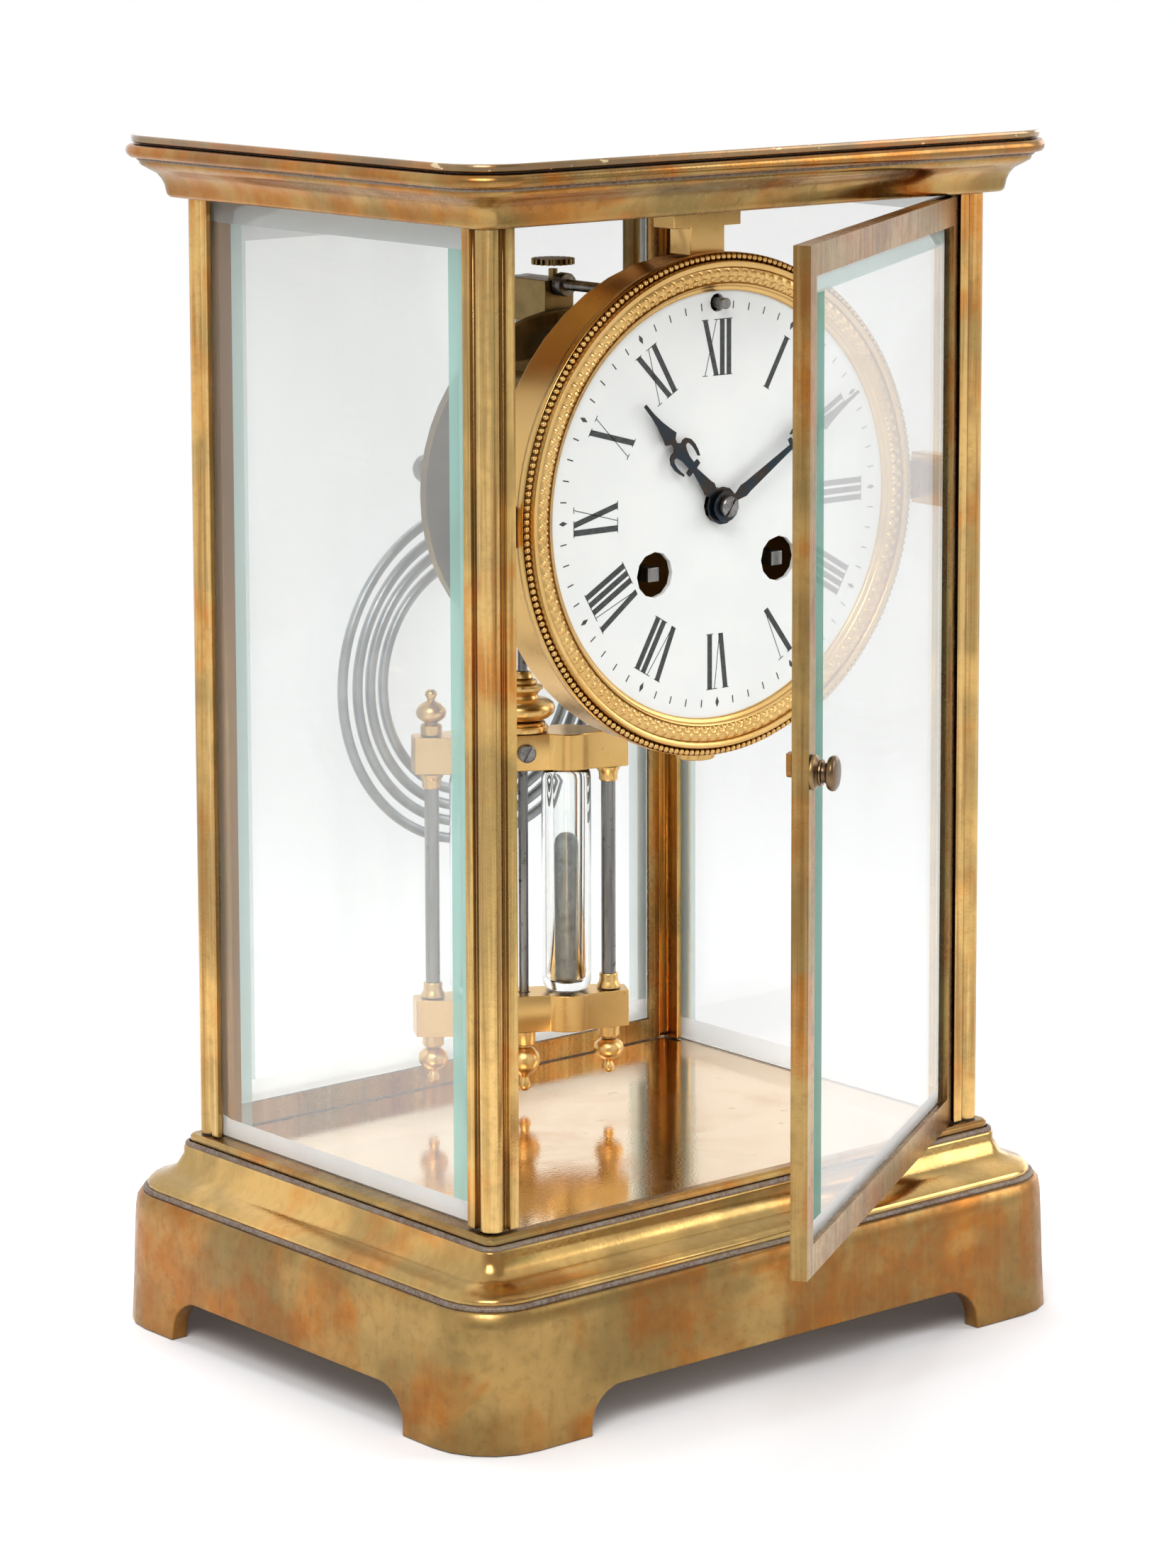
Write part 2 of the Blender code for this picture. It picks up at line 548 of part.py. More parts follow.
def levels_from(shares, reach, foot, top):
    return [(reach * across, foot + (top - foot) * up) for across, up in shares]


def turned(name, profile, steps, material, parent, location=(0, 0, 0), rotation=(0, 0, 0), ring=False):
    """Spin a profile of (radius, height) pairs, which runs down its outer side."""
    mesh = bpy.data.meshes.new(name)
    count = len(profile)
    edges = [(i, i + 1) for i in range(count - 1)]
    if ring:
        edges.append((count - 1, 0))
    mesh.from_pydata([(radius, 0.0, height) for radius, height in profile], edges, [])
    obj = add_object(name, mesh, material, parent, location, rotation)
    screw = obj.modifiers.new("turn", "SCREW")
    screw.steps = steps
    screw.render_steps = steps
    screw.use_merge_vertices = True
    screw.merge_threshold = WELD
    return obj


def scaled_profile(shares, radius, height, foot=0.0):
    return [(radius * across, foot + height * up) for across, up in shares]


def rod(name, radius, length, steps, material, parent, location=(0, 0, 0), rotation=(0, 0, 0)):
    """A cylinder whose foot is at its own origin."""
    return turned(name, [(0.0, length), (radius, length), (radius, 0.0), (0.0, 0.0)],
                  steps, material, parent, location, rotation)


def circle_points(radius, count, centre=(0.0, 0.0)):
    return [(centre[0] + radius * math.cos(math.tau * i / count),
             centre[1] + radius * math.sin(math.tau * i / count)) for i in range(count)]


def flat_outline(name, outlines, thickness, material, parent, location=(0, 0, 0), rotation=(0, 0, 0)):
    """A flat plate from closed outlines: an inner one is a hole. It is centred on its thickness."""
    curve = bpy.data.curves.new(name, "CURVE")
    curve.dimensions = "2D"
    curve.fill_mode = "BOTH"
    curve.extrude = thickness / 2
    for outline in outlines:
        spline = curve.splines.new("POLY")
        spline.points.add(len(outline) - 1)
        for point, (x, y) in zip(spline.points, outline):
            point.co = (x, y, 0.0, 1.0)
        spline.use_cyclic_u = True
    source = bpy.data.objects.new(name + "_outline", curve)
    bpy.context.scene.collection.objects.link(source)
    return mesh_from_curve(name, source, material, parent, location, rotation)


def mesh_from_curve(name, source, material, parent, location=(0, 0, 0), rotation=(0, 0, 0)):
    bpy.context.view_layer.update()
    evaluated = source.evaluated_get(bpy.context.evaluated_depsgraph_get())
    mesh = bpy.data.meshes.new_from_object(evaluated)
    mesh.name = name
    bm = bmesh.new()
    bm.from_mesh(mesh)
    bmesh.ops.remove_doubles(bm, verts=bm.verts, dist=WELD)
    bmesh.ops.recalc_face_normals(bm, faces=bm.faces)
    bm.to_mesh(mesh)
    bm.free()
    mesh.materials.clear()
    bpy.data.objects.remove(source, do_unlink=True)
    return add_object(name, mesh, material, parent, location, rotation)


# Case


def plinth_cutter(name, half_opening, half_length, along_x):
    """The shape cut through under a skirt: flat above, with a cove at each foot."""
    points = []
    centre = half_opening - FOOT_COVE_WIDTH
    spring = SKIRT_BOTTOM - FOOT_COVE_HEIGHT
    points.append((half_opening, -OVERRUN))
    for step in range(FOOT_COVE_STEPS + 1):
        angle = math.radians(90) * step / FOOT_COVE_STEPS
        points.append((centre + FOOT_COVE_WIDTH * math.cos(angle), spring + FOOT_COVE_HEIGHT * math.sin(angle)))
    outline = points + [(-x, z) for x, z in reversed(points)]
    turn = math.radians(90) if along_x else 0.0
    return flat_outline(name, [outline], 2 * half_length, None, None,
                        rotation=(math.radians(90), 0.0, turn))


def make_plinth(root, mats):
    foot_width = CASE_HALF_WIDTH + PLINTH_REACH
    foot_depth = CASE_HALF_DEPTH + PLINTH_REACH
    plinth = moulded_slab("base_plinth", levels_from(PLINTH_PROFILE_SHARES, PLINTH_REACH, 0.0, PLINTH_TOP),
                          mats["toned_brass"], root)
    hollow_reach = PLINTH_REACH - PLINTH_WALL
    hollow = moulded_slab("plinth_hollow", [(hollow_reach, -OVERRUN), (hollow_reach, PLINTH_TOP - PLINTH_DECK)],
                          None, root)
    combine(plinth, hollow)
    front_cut = plinth_cutter("front_skirt_cut", foot_width - FRONT_FOOT_LENGTH, foot_depth + OVERRUN, False)
    front_cut.parent = root
    combine(plinth, front_cut)
    side_cut = plinth_cutter("side_skirt_cut", foot_depth - SIDE_FOOT_LENGTH, foot_width + OVERRUN, True)
    side_cut.parent = root
    combine(plinth, side_cut)


def make_mouldings(root, mats):
    brass = mats["toned_brass"]
    moulded_slab("base_moulding", levels_from(MOULDING_PROFILE_SHARES, MOULDING_REACH,
                                              PLINTH_TOP + SEAT_GAP, MOULDING_TOP), brass, root)
    floor_plate = moulded_slab("floor_plate", levels_from(FLOOR_PROFILE_SHARES, FLOOR_REACH,
                                                          MOULDING_TOP + SEAT_GAP, CASE_FLOOR),
                               mats["floor_brass"], root)
    cove = moulded_slab("cornice_cove", levels_from(COVE_PROFILE_SHARES, COVE_REACH, CORNICE_FOOT, COVE_TOP),
                        brass, root)
    torus_foot = COVE_TOP + SEAT_GAP
    torus_half = (TORUS_TOP - torus_foot) / 2
    levels = []
    for step in range(TORUS_ARC_STEPS + 1):
        angle = math.radians(-90) + math.radians(180) * step / TORUS_ARC_STEPS
        levels.append((TORUS_REACH - torus_half + torus_half * math.cos(angle),
                       torus_foot + torus_half + torus_half * math.sin(angle)))
    moulded_slab("cornice_torus", levels, brass, root)
    moulded_slab("top_plate", levels_from(TOP_PLATE_PROFILE_SHARES, TOP_PLATE_REACH,
                                          TORUS_TOP + SEAT_GAP, TOP_PLATE_TOP), brass, root)
    for name, x, y in (("front", HINGE_X, -HINGE_Y), ("rear", -HINGE_X, HINGE_Y)):
        for plate, foot in ((floor_plate, CASE_FLOOR - DOOR_PIN_LENGTH), (cove, CORNICE_FOOT - OVERRUN)):
            hole = rod(f"{name}_pin_hole_{plate.name}", DOOR_PIN_RADIUS + BORE_GAP, DOOR_PIN_LENGTH + OVERRUN,
                       ROUND_STEPS, None, root, (x, y, foot))
            combine(plate, hole)


def pillar_outline(sx, sy):
    """Section of a corner pillar, from points inward of the case's side and front faces."""
    strip_start = 2 * COLUMN_RADIUS + GROOVE_WIDTH
    lip = SIDE_GLASS_SETBACK - SEAT_GAP
    slot_back = SIDE_GLASS_SETBACK + SIDE_GLASS_THICKNESS + SEAT_GAP
    slot_end = PILLAR_FACE - GLASS_SLOT_DEPTH
    open_angle = math.acos((COLUMN_RADIUS - GROOVE_DEPTH) / COLUMN_RADIUS)
    points = [(STRIP_RECESS, PILLAR_FACE), (STRIP_RECESS, strip_start), (GROOVE_DEPTH, strip_start)]
    start = math.radians(180) - open_angle
    end = math.radians(270) + open_angle
    for step in range(COLUMN_ARC_STEPS + 1):
        angle = start + (end - start) * step / COLUMN_ARC_STEPS
        points.append((COLUMN_RADIUS + COLUMN_RADIUS * math.cos(angle),
                       COLUMN_RADIUS + COLUMN_RADIUS * math.sin(angle)))
    points += [(strip_start, GROOVE_DEPTH), (strip_start, STRIP_RECESS), (PILLAR_FACE, STRIP_RECESS),
               (PILLAR_FACE, PILLAR_DOOR_DEPTH), (PILLAR_SIDE_DEPTH, PILLAR_DOOR_DEPTH),
               (PILLAR_SIDE_DEPTH, PILLAR_FACE), (slot_back, PILLAR_FACE), (slot_back, slot_end),
               (lip, slot_end), (lip, PILLAR_FACE)]
    return [(sx * (CASE_HALF_WIDTH - u), sy * (CASE_HALF_DEPTH - v)) for u, v in points]


def make_pillars(root, mats):
    middle = PILLAR_FOOT + PILLAR_HEIGHT / 2
    for name, sx, sy in (("front_left", -1, -1), ("front_right", 1, -1), ("rear_left", -1, 1), ("rear_right", 1, 1)):
        flat_outline(f"pillar_{name}", [pillar_outline(sx, sy)], PILLAR_HEIGHT, mats["toned_brass"], root,
                     (0.0, 0.0, middle))


def bevelled_pane(name, half_width, height, thickness, material, parent, location, rotation):
    """A pane with its foot at its own origin and its ground bevel on the +Y side."""
    rings = []
    for inset, depth in ((0.0, 0.0), (0.0, thickness - GLASS_BEVEL_DEPTH), (GLASS_BEVEL_WIDTH, thickness)):
        left, right, low, high = -half_width + inset, half_width - inset, inset, height - inset
        rings.append([(left, depth, low), (right, depth, low), (right, depth, high), (left, depth, high)])
    return loft(name, rings, material, parent, location, rotation)


def make_side_glasses(root, mats):
    slot_end = PILLAR_FACE - GLASS_SLOT_DEPTH
    half_width = CASE_HALF_DEPTH - slot_end - SEAT_GAP
    inner_x = CASE_HALF_WIDTH - SIDE_GLASS_SETBACK - SIDE_GLASS_THICKNESS
    for name, side, turn in (("left_glass", -1, math.radians(90)), ("right_glass", 1, math.radians(-90))):
        bevelled_pane(name, half_width, PILLAR_HEIGHT, SIDE_GLASS_THICKNESS, mats["glass"], root,
                      (side * inner_x, 0.0, PILLAR_FOOT), (0.0, 0.0, turn))


# Doors, each modelled shut about its hinge: the free edge towards -X, the outside towards -Y


def make_door(name, hinge, mats):
    right = HINGE_RADIUS
    left = right - 2 * DOOR_HALF_WIDTH
    front = -HINGE_RADIUS
    back = front + DOOR_THICKNESS
    bm = bmesh.new()
    bmesh.ops.create_cube(bm, size=1.0)
    bmesh.ops.scale(bm, vec=(right - left, back - front, DOOR_HEIGHT), verts=bm.verts)
    middle = ((right + left) / 2, (back + front) / 2, DOOR_HEIGHT / 2)
    hinge_edge = [edge for edge in bm.edges if all(v.co.x > 0 and v.co.y < 0 for v in edge.verts)]
    bmesh.ops.bevel(bm, geom=hinge_edge, offset=HINGE_RADIUS, offset_type="OFFSET", segments=HINGE_ROUND_STEPS,
                    profile=0.5, affect="EDGES")
    frame = add_object(f"{name}_frame", mesh_from_bmesh(name, bm), mats["toned_brass"], hinge, middle)
    x_low = left + STILE_WIDTH
    x_high = right - STILE_WIDTH
    z_low = RAIL_WIDTH
    z_high = DOOR_HEIGHT - RAIL_WIDTH
    combine(frame, box(f"{name}_opening", (x_low, front - OVERRUN, z_low), (x_high, back + OVERRUN, z_high),
                       None, hinge))
    combine(frame, box(f"{name}_rebate", (x_low - REBATE_WIDTH, front + DOOR_LIP, z_low - REBATE_WIDTH),
                       (x_high + REBATE_WIDTH, back + OVERRUN, z_high + REBATE_WIDTH), None, hinge))
    knob_x = left + STILE_WIDTH / 2
    knob_z = KNOB_HEIGHT - DOOR_FOOT
    combine(frame, rod(f"{name}_knob_hole", SPINDLE_RADIUS + BORE_GAP, DOOR_THICKNESS + 2 * OVERRUN, ROUND_STEPS,
                       None, hinge, (knob_x, back + OVERRUN, knob_z), FRONT))
    pin_top = CORNICE_FOOT + DOOR_PIN_LENGTH - SEAT_GAP - DOOR_FOOT
    for end, low, high in (("lower", -DOOR_PIN_LENGTH, OVERRUN), ("upper", DOOR_HEIGHT - OVERRUN, pin_top)):
        combine(frame, rod(f"{name}_{end}_pin", DOOR_PIN_RADIUS, high - low, SMALL_STEPS, None, hinge,
                           (0.0, 0.0, low)), "UNION")
    inset = REBATE_WIDTH - SEAT_GAP
    pane = bevelled_pane(f"{name}_glass", (x_high - x_low) / 2 + inset, z_high - z_low + 2 * inset,
                         DOOR_GLASS_THICKNESS, mats["glass"], hinge,
                         ((x_low + x_high) / 2, front + DOOR_LIP + SEAT_GAP + DOOR_GLASS_THICKNESS, z_low - inset),
                         (0.0, 0.0, math.radians(180)))
    spindle = add_empty(f"{name}_knob_axis", hinge, (knob_x, front, knob_z), FRONT)
    make_knob(name, spindle, mats)
    return pane


def make_knob(door, spindle, mats):
    """A knob with its spindle along the local Z axis, outwards, and its catch behind the stile."""
    spindle_end = -DOOR_THICKNESS - 2 * SEAT_GAP - CATCH_THICKNESS
    profile = scaled_profile(KNOB_PROFILE_SHARES, KNOB_RADIUS, KNOB_LENGTH - SEAT_GAP, SEAT_GAP)
    profile += [(SPINDLE_RADIUS, SEAT_GAP), (SPINDLE_RADIUS, spindle_end), (0.0, spindle_end)]
    turned(f"{door}_knob", profile, SMALL_STEPS, mats["bronze"], spindle)
    half = CATCH_WIDTH / 2
    outline = [(half * math.cos(a), half * math.sin(a))
               for a in (math.radians(180) + math.radians(180) * i / TINY_STEPS for i in range(TINY_STEPS + 1))]
    outline += [(half, CATCH_REACH), (-half, CATCH_REACH)]
    bore = circle_points(SPINDLE_RADIUS + BORE_GAP, SMALL_STEPS)
    middle = -DOOR_THICKNESS - SEAT_GAP - CATCH_THICKNESS / 2
    flat_outline(f"{door}_catch", [outline, bore], CATCH_THICKNESS, mats["toned_brass"], spindle,
                 (0.0, 0.0, middle))


def make_doors(root, mats):
    front_hinge = add_empty("front_door_hinge", root, (HINGE_X, -HINGE_Y, DOOR_FOOT),
                            (0.0, 0.0, math.radians(FRONT_DOOR_REST_DEG)))
    make_door("front_door", front_hinge, mats)
    rear_hinge = add_empty("rear_door_hinge", root, (-HINGE_X, HINGE_Y, DOOR_FOOT), (0.0, 0.0, math.radians(180)))
    make_door("rear_door", rear_hinge, mats)


# Dial, bezel and drum: local Z of a piece turned to FRONT points out of the dial


def dial_holes():
    """Places and radii of the holes for the hands, both winding squares and the regulator."""
    return ((0.0, 0.0, HANDS_HOLE_RADIUS),
            (-WINDING_HOLE_X, -WINDING_HOLE_DROP, WINDING_HOLE_RADIUS),
            (WINDING_HOLE_X, -WINDING_HOLE_DROP, WINDING_HOLE_RADIUS),
            (0.0, REGULATOR_HOLE_RISE, REGULATOR_HOLE_RADIUS))


def make_dial(root, mats):
    outlines = [circle_points(ENAMEL_RADIUS, FINE_STEPS)]
    outlines += [circle_points(radius, SMALL_STEPS, (x, z)) for x, z, radius in dial_holes()]
    flat_outline("enamel_dial", outlines, ENAMEL_THICKNESS, mats["enamel"], root,
                 (0.0, DIAL_FACE_Y + ENAMEL_THICKNESS / 2, DIAL_HEIGHT), FRONT)
    make_bezel(root, mats)
    make_dial_pan(root, mats)


def make_bezel(root, mats):
    face = scaled_profile(BEZEL_FACE_SHARES, BEZEL_RADIUS, BEZEL_FRONT_RISE)
    rabbet = ENAMEL_RADIUS + SEAT_GAP
    back = -BEZEL_BACK_DROP
    profile = list(reversed(face)) + [(BEZEL_RADIUS, back), (rabbet, back), (rabbet, SEAT_GAP),
                                      (BEZEL_OPENING_RADIUS, SEAT_GAP)]
    turned("bezel", profile, FINE_STEPS, mats["gilt_brass"], root, (0.0, DIAL_FACE_Y, DIAL_HEIGHT), FRONT, True)


def make_dial_pan(root, mats):
    depth = PAN_BACK_Y - PAN_FRONT_Y
    inner = PAN_RADIUS - PAN_WALL
    profile = [(0.0, PAN_BACK_THICKNESS), (inner, PAN_BACK_THICKNESS), (inner, depth), (PAN_RADIUS, depth),
               (PAN_RADIUS, 0.0), (0.0, 0.0)]
    pan = turned("dial_pan", profile, FINE_STEPS, mats["gilt_brass"], root,
                 (0.0, PAN_BACK_Y, DIAL_HEIGHT), FRONT)
    for index, (x, z, radius) in enumerate(dial_holes()):
        combine(pan, rod(f"pan_hole_{index}", radius, PAN_BACK_THICKNESS + 2 * OVERRUN, SMALL_STEPS, None, root,
                         (x, PAN_BACK_Y + OVERRUN, DIAL_HEIGHT + z), FRONT))
    nut_y = (PAN_FRONT_Y + PAN_BACK_Y) / 2
    nut_top = DIAL_HEIGHT - BEZEL_RADIUS - SEAT_GAP
    neck_top = DIAL_HEIGHT - PAN_RADIUS - SEAT_GAP
    profile = [(0.0, neck_top), (BEZEL_NUT_NECK_RADIUS, neck_top), (BEZEL_NUT_NECK_RADIUS, nut_top),
               (BEZEL_NUT_RADIUS, nut_top), (BEZEL_NUT_RADIUS, nut_top - BEZEL_NUT_HEIGHT),
               (0.0, nut_top - BEZEL_NUT_HEIGHT)]
    turned("bezel_nut", profile, ROUND_STEPS, mats["gilt_brass"], root, (0.0, nut_y, 0.0))


def make_carriers(root, mats):
    flange_top = CORNICE_FOOT - SEAT_GAP
    flange_foot = flange_top - T_FLANGE_HEIGHT
    stem_foot = DIAL_HEIGHT + PAN_RADIUS + SEAT_GAP
    half = [(T_STEM_HALF_WIDTH, stem_foot), (T_STEM_HALF_WIDTH, flange_foot), (T_FLANGE_HALF_WIDTH, flange_foot),
            (T_FLANGE_HALF_WIDTH, flange_top)]
    outline = half + [(-x, z) for x, z in reversed(half)]
    flat_outline("t_block", [outline], T_BLOCK_DEPTH, mats["gilt_brass"], root,
                 (0.0, PAN_FRONT_Y + T_BLOCK_SETBACK + T_BLOCK_DEPTH / 2, 0.0), FRONT)
    for name, side in (("left_arm", -1), ("right_arm", 1)):
        make_arm(name, side, root, mats)
    post_foot = MOVEMENT_BAR_TOP + SEAT_GAP
    eye_top = REGULATOR_HEIGHT + POST_EYE_RADIUS
    profile = [(0.0, flange_top), (POST_RADIUS, flange_top), (POST_RADIUS, eye_top), (POST_EYE_RADIUS, eye_top),
               (POST_EYE_RADIUS, post_foot), (0.0, post_foot)]
    post = turned("hanger_post", profile, SMALL_STEPS, mats["dark_brass"], root, (0.0, POST_Y, 0.0))
    combine(post, rod("hanger_post_eye", REGULATOR_ARBOR_RADIUS + BORE_GAP, 2 * (POST_EYE_RADIUS + OVERRUN),
                      SMALL_STEPS, None, root, (0.0, POST_Y + POST_EYE_RADIUS + OVERRUN, REGULATOR_HEIGHT), FRONT))


def make_arm(name, side, root, mats):
    """An arm from the drum's side to a lug against the pillar, which flares upwards and down."""
    inner = PAN_RADIUS + SEAT_GAP
    outer = inner + ARM_LENGTH
    knee = outer - ARM_FOOT_WIDTH
    arm_back = PAN_FRONT_Y + ARM_DEPTH
    foot_front = PAN_FRONT_Y - ARM_FOOT_ADVANCE
    rings = []
    for x, front, half in ((inner, PAN_FRONT_Y, ARM_HALF_HEIGHT), (knee, PAN_FRONT_Y, ARM_HALF_HEIGHT),
                           (knee + SEAT_GAP, foot_front, ARM_FLARE_HALF_HEIGHT),
                           (outer, foot_front, ARM_FLARE_HALF_HEIGHT)):
        low, high = DIAL_HEIGHT - half, DIAL_HEIGHT + half
        rings.append([(side * x, front, low), (side * x, arm_back, low),
                      (side * x, arm_back, high), (side * x, front, high)])
    loft(name, rings, mats["gilt_brass"], root)


# Movement


def make_plates(root, mats):
    bores = [(0.0, 0.0, CENTRE_ARBOR_RADIUS + BORE_GAP)]
    bores += [(side * WINDING_HOLE_X, -WINDING_HOLE_DROP, WINDING_ARBOR_RADIUS + BORE_GAP) for side in (-1, 1)]
    escape = (0.0, SWING_RISE - ESCAPE_DROP, ARBOR_RADIUS + BORE_GAP)
    swing = (0.0, SWING_RISE, ARBOR_RADIUS + BORE_GAP)
    hammer = (HAMMER_PIVOT_X, HAMMER_HEIGHT - DIAL_HEIGHT, HAMMER_PIVOT_RADIUS + BORE_GAP)
    front_outlines = [circle_points(PLATE_RADIUS, FINE_STEPS)]
    front_outlines += [circle_points(r, SMALL_STEPS, (x, z)) for x, z, r in bores + [escape, swing]]
    flat_outline("front_plate", front_outlines, PLATE_THICKNESS, mats["dark_brass"], root,
                 (0.0, FRONT_PLATE_BACK_Y - PLATE_THICKNESS / 2, DIAL_HEIGHT), FRONT)
    back_outlines = [circle_points(PLATE_RADIUS, FINE_STEPS)]
    back_outlines += [circle_points(r, SMALL_STEPS, (x, z)) for x, z, r in bores + [escape, swing, hammer]]
    back_plate = flat_outline("back_plate", back_outlines, PLATE_THICKNESS, mats["dark_brass"], root,
                              (0.0, BACK_PLATE_FRONT_Y + PLATE_THICKNESS / 2, DIAL_HEIGHT), FRONT)
    length = BACK_PLATE_FRONT_Y - FRONT_PLATE_BACK_Y - SEAT_GAP + PLATE_THICKNESS / 2
    angles = [math.radians(degrees) for degrees in MOVEMENT_PILLAR_ANGLES_DEG]
    for index, angle in enumerate(angles):
        place = (MOVEMENT_PILLAR_CIRCLE * math.cos(angle), BACK_PLATE_FRONT_Y + PLATE_THICKNESS / 2,
                 DIAL_HEIGHT + MOVEMENT_PILLAR_CIRCLE * math.sin(angle))
        combine(back_plate, rod(f"movement_pillar_{index}", MOVEMENT_PILLAR_RADIUS, length, SMALL_STEPS, None, root,
                                place, FRONT), "UNION")
    bar_back = BACK_PLATE_FRONT_Y + PLATE_THICKNESS / 2
    combine(back_plate, box("movement_bar", (-MOVEMENT_BAR_HALF_WIDTH, bar_back - length,
                                             MOVEMENT_BAR_TOP - MOVEMENT_BAR_HEIGHT),
                            (MOVEMENT_BAR_HALF_WIDTH, bar_back, MOVEMENT_BAR_TOP), None, root), "UNION")


def make_barrel(name, side, wheel_radius, root, mats):
    """A spring barrel with its great wheel, free to turn on the winding arbor."""
    axis = add_empty(f"{name}_barrel_axis", root, (side * WINDING_HOLE_X, BARREL_BACK_Y, WINDING_HEIGHT), FRONT)
    bore = WINDING_ARBOR_RADIUS + BORE_GAP
    drum_radius = wheel_radius - BARREL_TOOTH_DEPTH
    profile = [(drum_radius, BARREL_LENGTH), (drum_radius, BARREL_WHEEL_THICKNESS),
               (wheel_radius, BARREL_WHEEL_THICKNESS), (wheel_radius, 0.0), (bore, 0.0), (bore, BARREL_LENGTH)]
    turned(f"{name}_barrel", profile, ROUND_STEPS, mats["dark_brass"], axis, ring=True)
    back = BARREL_BACK_Y - BACK_PLATE_BACK_Y
    front = BARREL_BACK_Y - WINDING_TIP_Y
    shoulder = front - WINDING_SQUARE_LENGTH
    arbor = rod(f"{name}_winding_arbor", WINDING_ARBOR_RADIUS, shoulder - back, SMALL_STEPS, mats["steel"], axis,
                (0.0, 0.0, back))
    square = box(f"{name}_square", (-WINDING_SQUARE_HALF, -WINDING_SQUARE_HALF, shoulder - OVERRUN),
                 (WINDING_SQUARE_HALF, WINDING_SQUARE_HALF, front), None, axis)
    combine(arbor, square, "UNION")


def make_centre(root, mats):
    """The centre arbor with its wheel, which carries the minute hand."""
    axis = add_empty("minute_axis", root, (0.0, DIAL_FACE_Y, DIAL_HEIGHT), FRONT)
    nut_foot = DIAL_FACE_Y - MINUTE_HAND_Y + HAND_THICKNESS / 2 + SEAT_GAP
    tip = nut_foot + HAND_NUT_HEIGHT - SEAT_GAP
    back = DIAL_FACE_Y - BACK_PLATE_BACK_Y
    wheel = DIAL_FACE_Y - CENTRE_WHEEL_Y
    pinion = DIAL_FACE_Y - BARREL_BACK_Y + BARREL_WHEEL_THICKNESS
    profile = [(0.0, tip), (CENTRE_ARBOR_RADIUS, tip), (CENTRE_ARBOR_RADIUS, pinion), (CENTRE_PINION_RADIUS, pinion),
               (CENTRE_PINION_RADIUS, wheel + CENTRE_WHEEL_THICKNESS),
               (CENTRE_WHEEL_RADIUS, wheel + CENTRE_WHEEL_THICKNESS), (CENTRE_WHEEL_RADIUS, wheel),
               (CENTRE_ARBOR_RADIUS, wheel), (CENTRE_ARBOR_RADIUS, back), (0.0, back)]
    turned("centre_wheel", profile, ROUND_STEPS, mats["steel"], axis)
    bore = CENTRE_ARBOR_RADIUS + BORE_GAP
    nut = [(HAND_NUT_RADIUS, nut_foot + HAND_NUT_HEIGHT), (HAND_NUT_RADIUS, nut_foot), (bore, nut_foot),
           (bore, nut_foot + HAND_NUT_HEIGHT)]
    turned("hand_nut", nut, SMALL_STEPS, mats["blued_steel"], axis, ring=True)
    hand = make_hand("minute_hand", MINUTE_HAND_LENGTH, MINUTE_HAND_HALF_WIDTH, MINUTE_HAND_ROOT_SHARE,
                     MINUTE_HAND_SHARES, MINUTE_HAND_HUB_RADIUS, bore, mats, axis)
    hand.location = (0.0, 0.0, DIAL_FACE_Y - MINUTE_HAND_Y)
    hand.rotation_euler = (0.0, 0.0, math.radians(-MINUTE_HAND_CLOCK_DEG))
    hour_axis = add_empty("hour_axis", root, (0.0, DIAL_FACE_Y, DIAL_HEIGHT), FRONT)
    hour_hand = make_hand("hour_hand", HOUR_HAND_LENGTH, HOUR_HAND_HALF_WIDTH, HOUR_HAND_ROOT_SHARE,
                          HOUR_HAND_SHARES, HOUR_HAND_HUB_RADIUS, HOUR_PIPE_BORE_RADIUS, mats, hour_axis)
    hour_hand.location = (0.0, 0.0, DIAL_FACE_Y - HOUR_HAND_Y)
    hour_hand.rotation_euler = (0.0, 0.0, math.radians(-HOUR_HAND_CLOCK_DEG))
    pipe_length = HOUR_PIPE_BACK_Y - HOUR_HAND_Y
    pipe = turned("hour_pipe", [(HOUR_PIPE_RADIUS, pipe_length), (HOUR_PIPE_RADIUS, 0.0),
                                (HOUR_PIPE_BORE_RADIUS, 0.0), (HOUR_PIPE_BORE_RADIUS, pipe_length)],
                  SMALL_STEPS, None, hour_axis, (0.0, 0.0, DIAL_FACE_Y - HOUR_PIPE_BACK_Y), ring=True)
    combine(hour_hand, pipe, "UNION")


def make_hand(name, length, half_width, root_share, shares, hub, bore, mats, axis):
    """A hand along local +Y: a hub, a tapering stem with a bar and two horns, and a barbed leaf to its tip."""
    root = half_width * root_share
    end = math.radians(180) - math.asin(root / hub)
    right = [(hub * math.sin(a), -hub * math.cos(a)) for a in (end * i / HUB_STEPS for i in range(HUB_STEPS + 1))]
    right += [(half_width * across, length * along) for across, along in shares]
    left = [(-x, y) for x, y in reversed(right)]
    return flat_outline(name, [right + left[:-1], circle_points(bore, SMALL_STEPS)], HAND_THICKNESS,
                        mats["blued_steel"], axis)


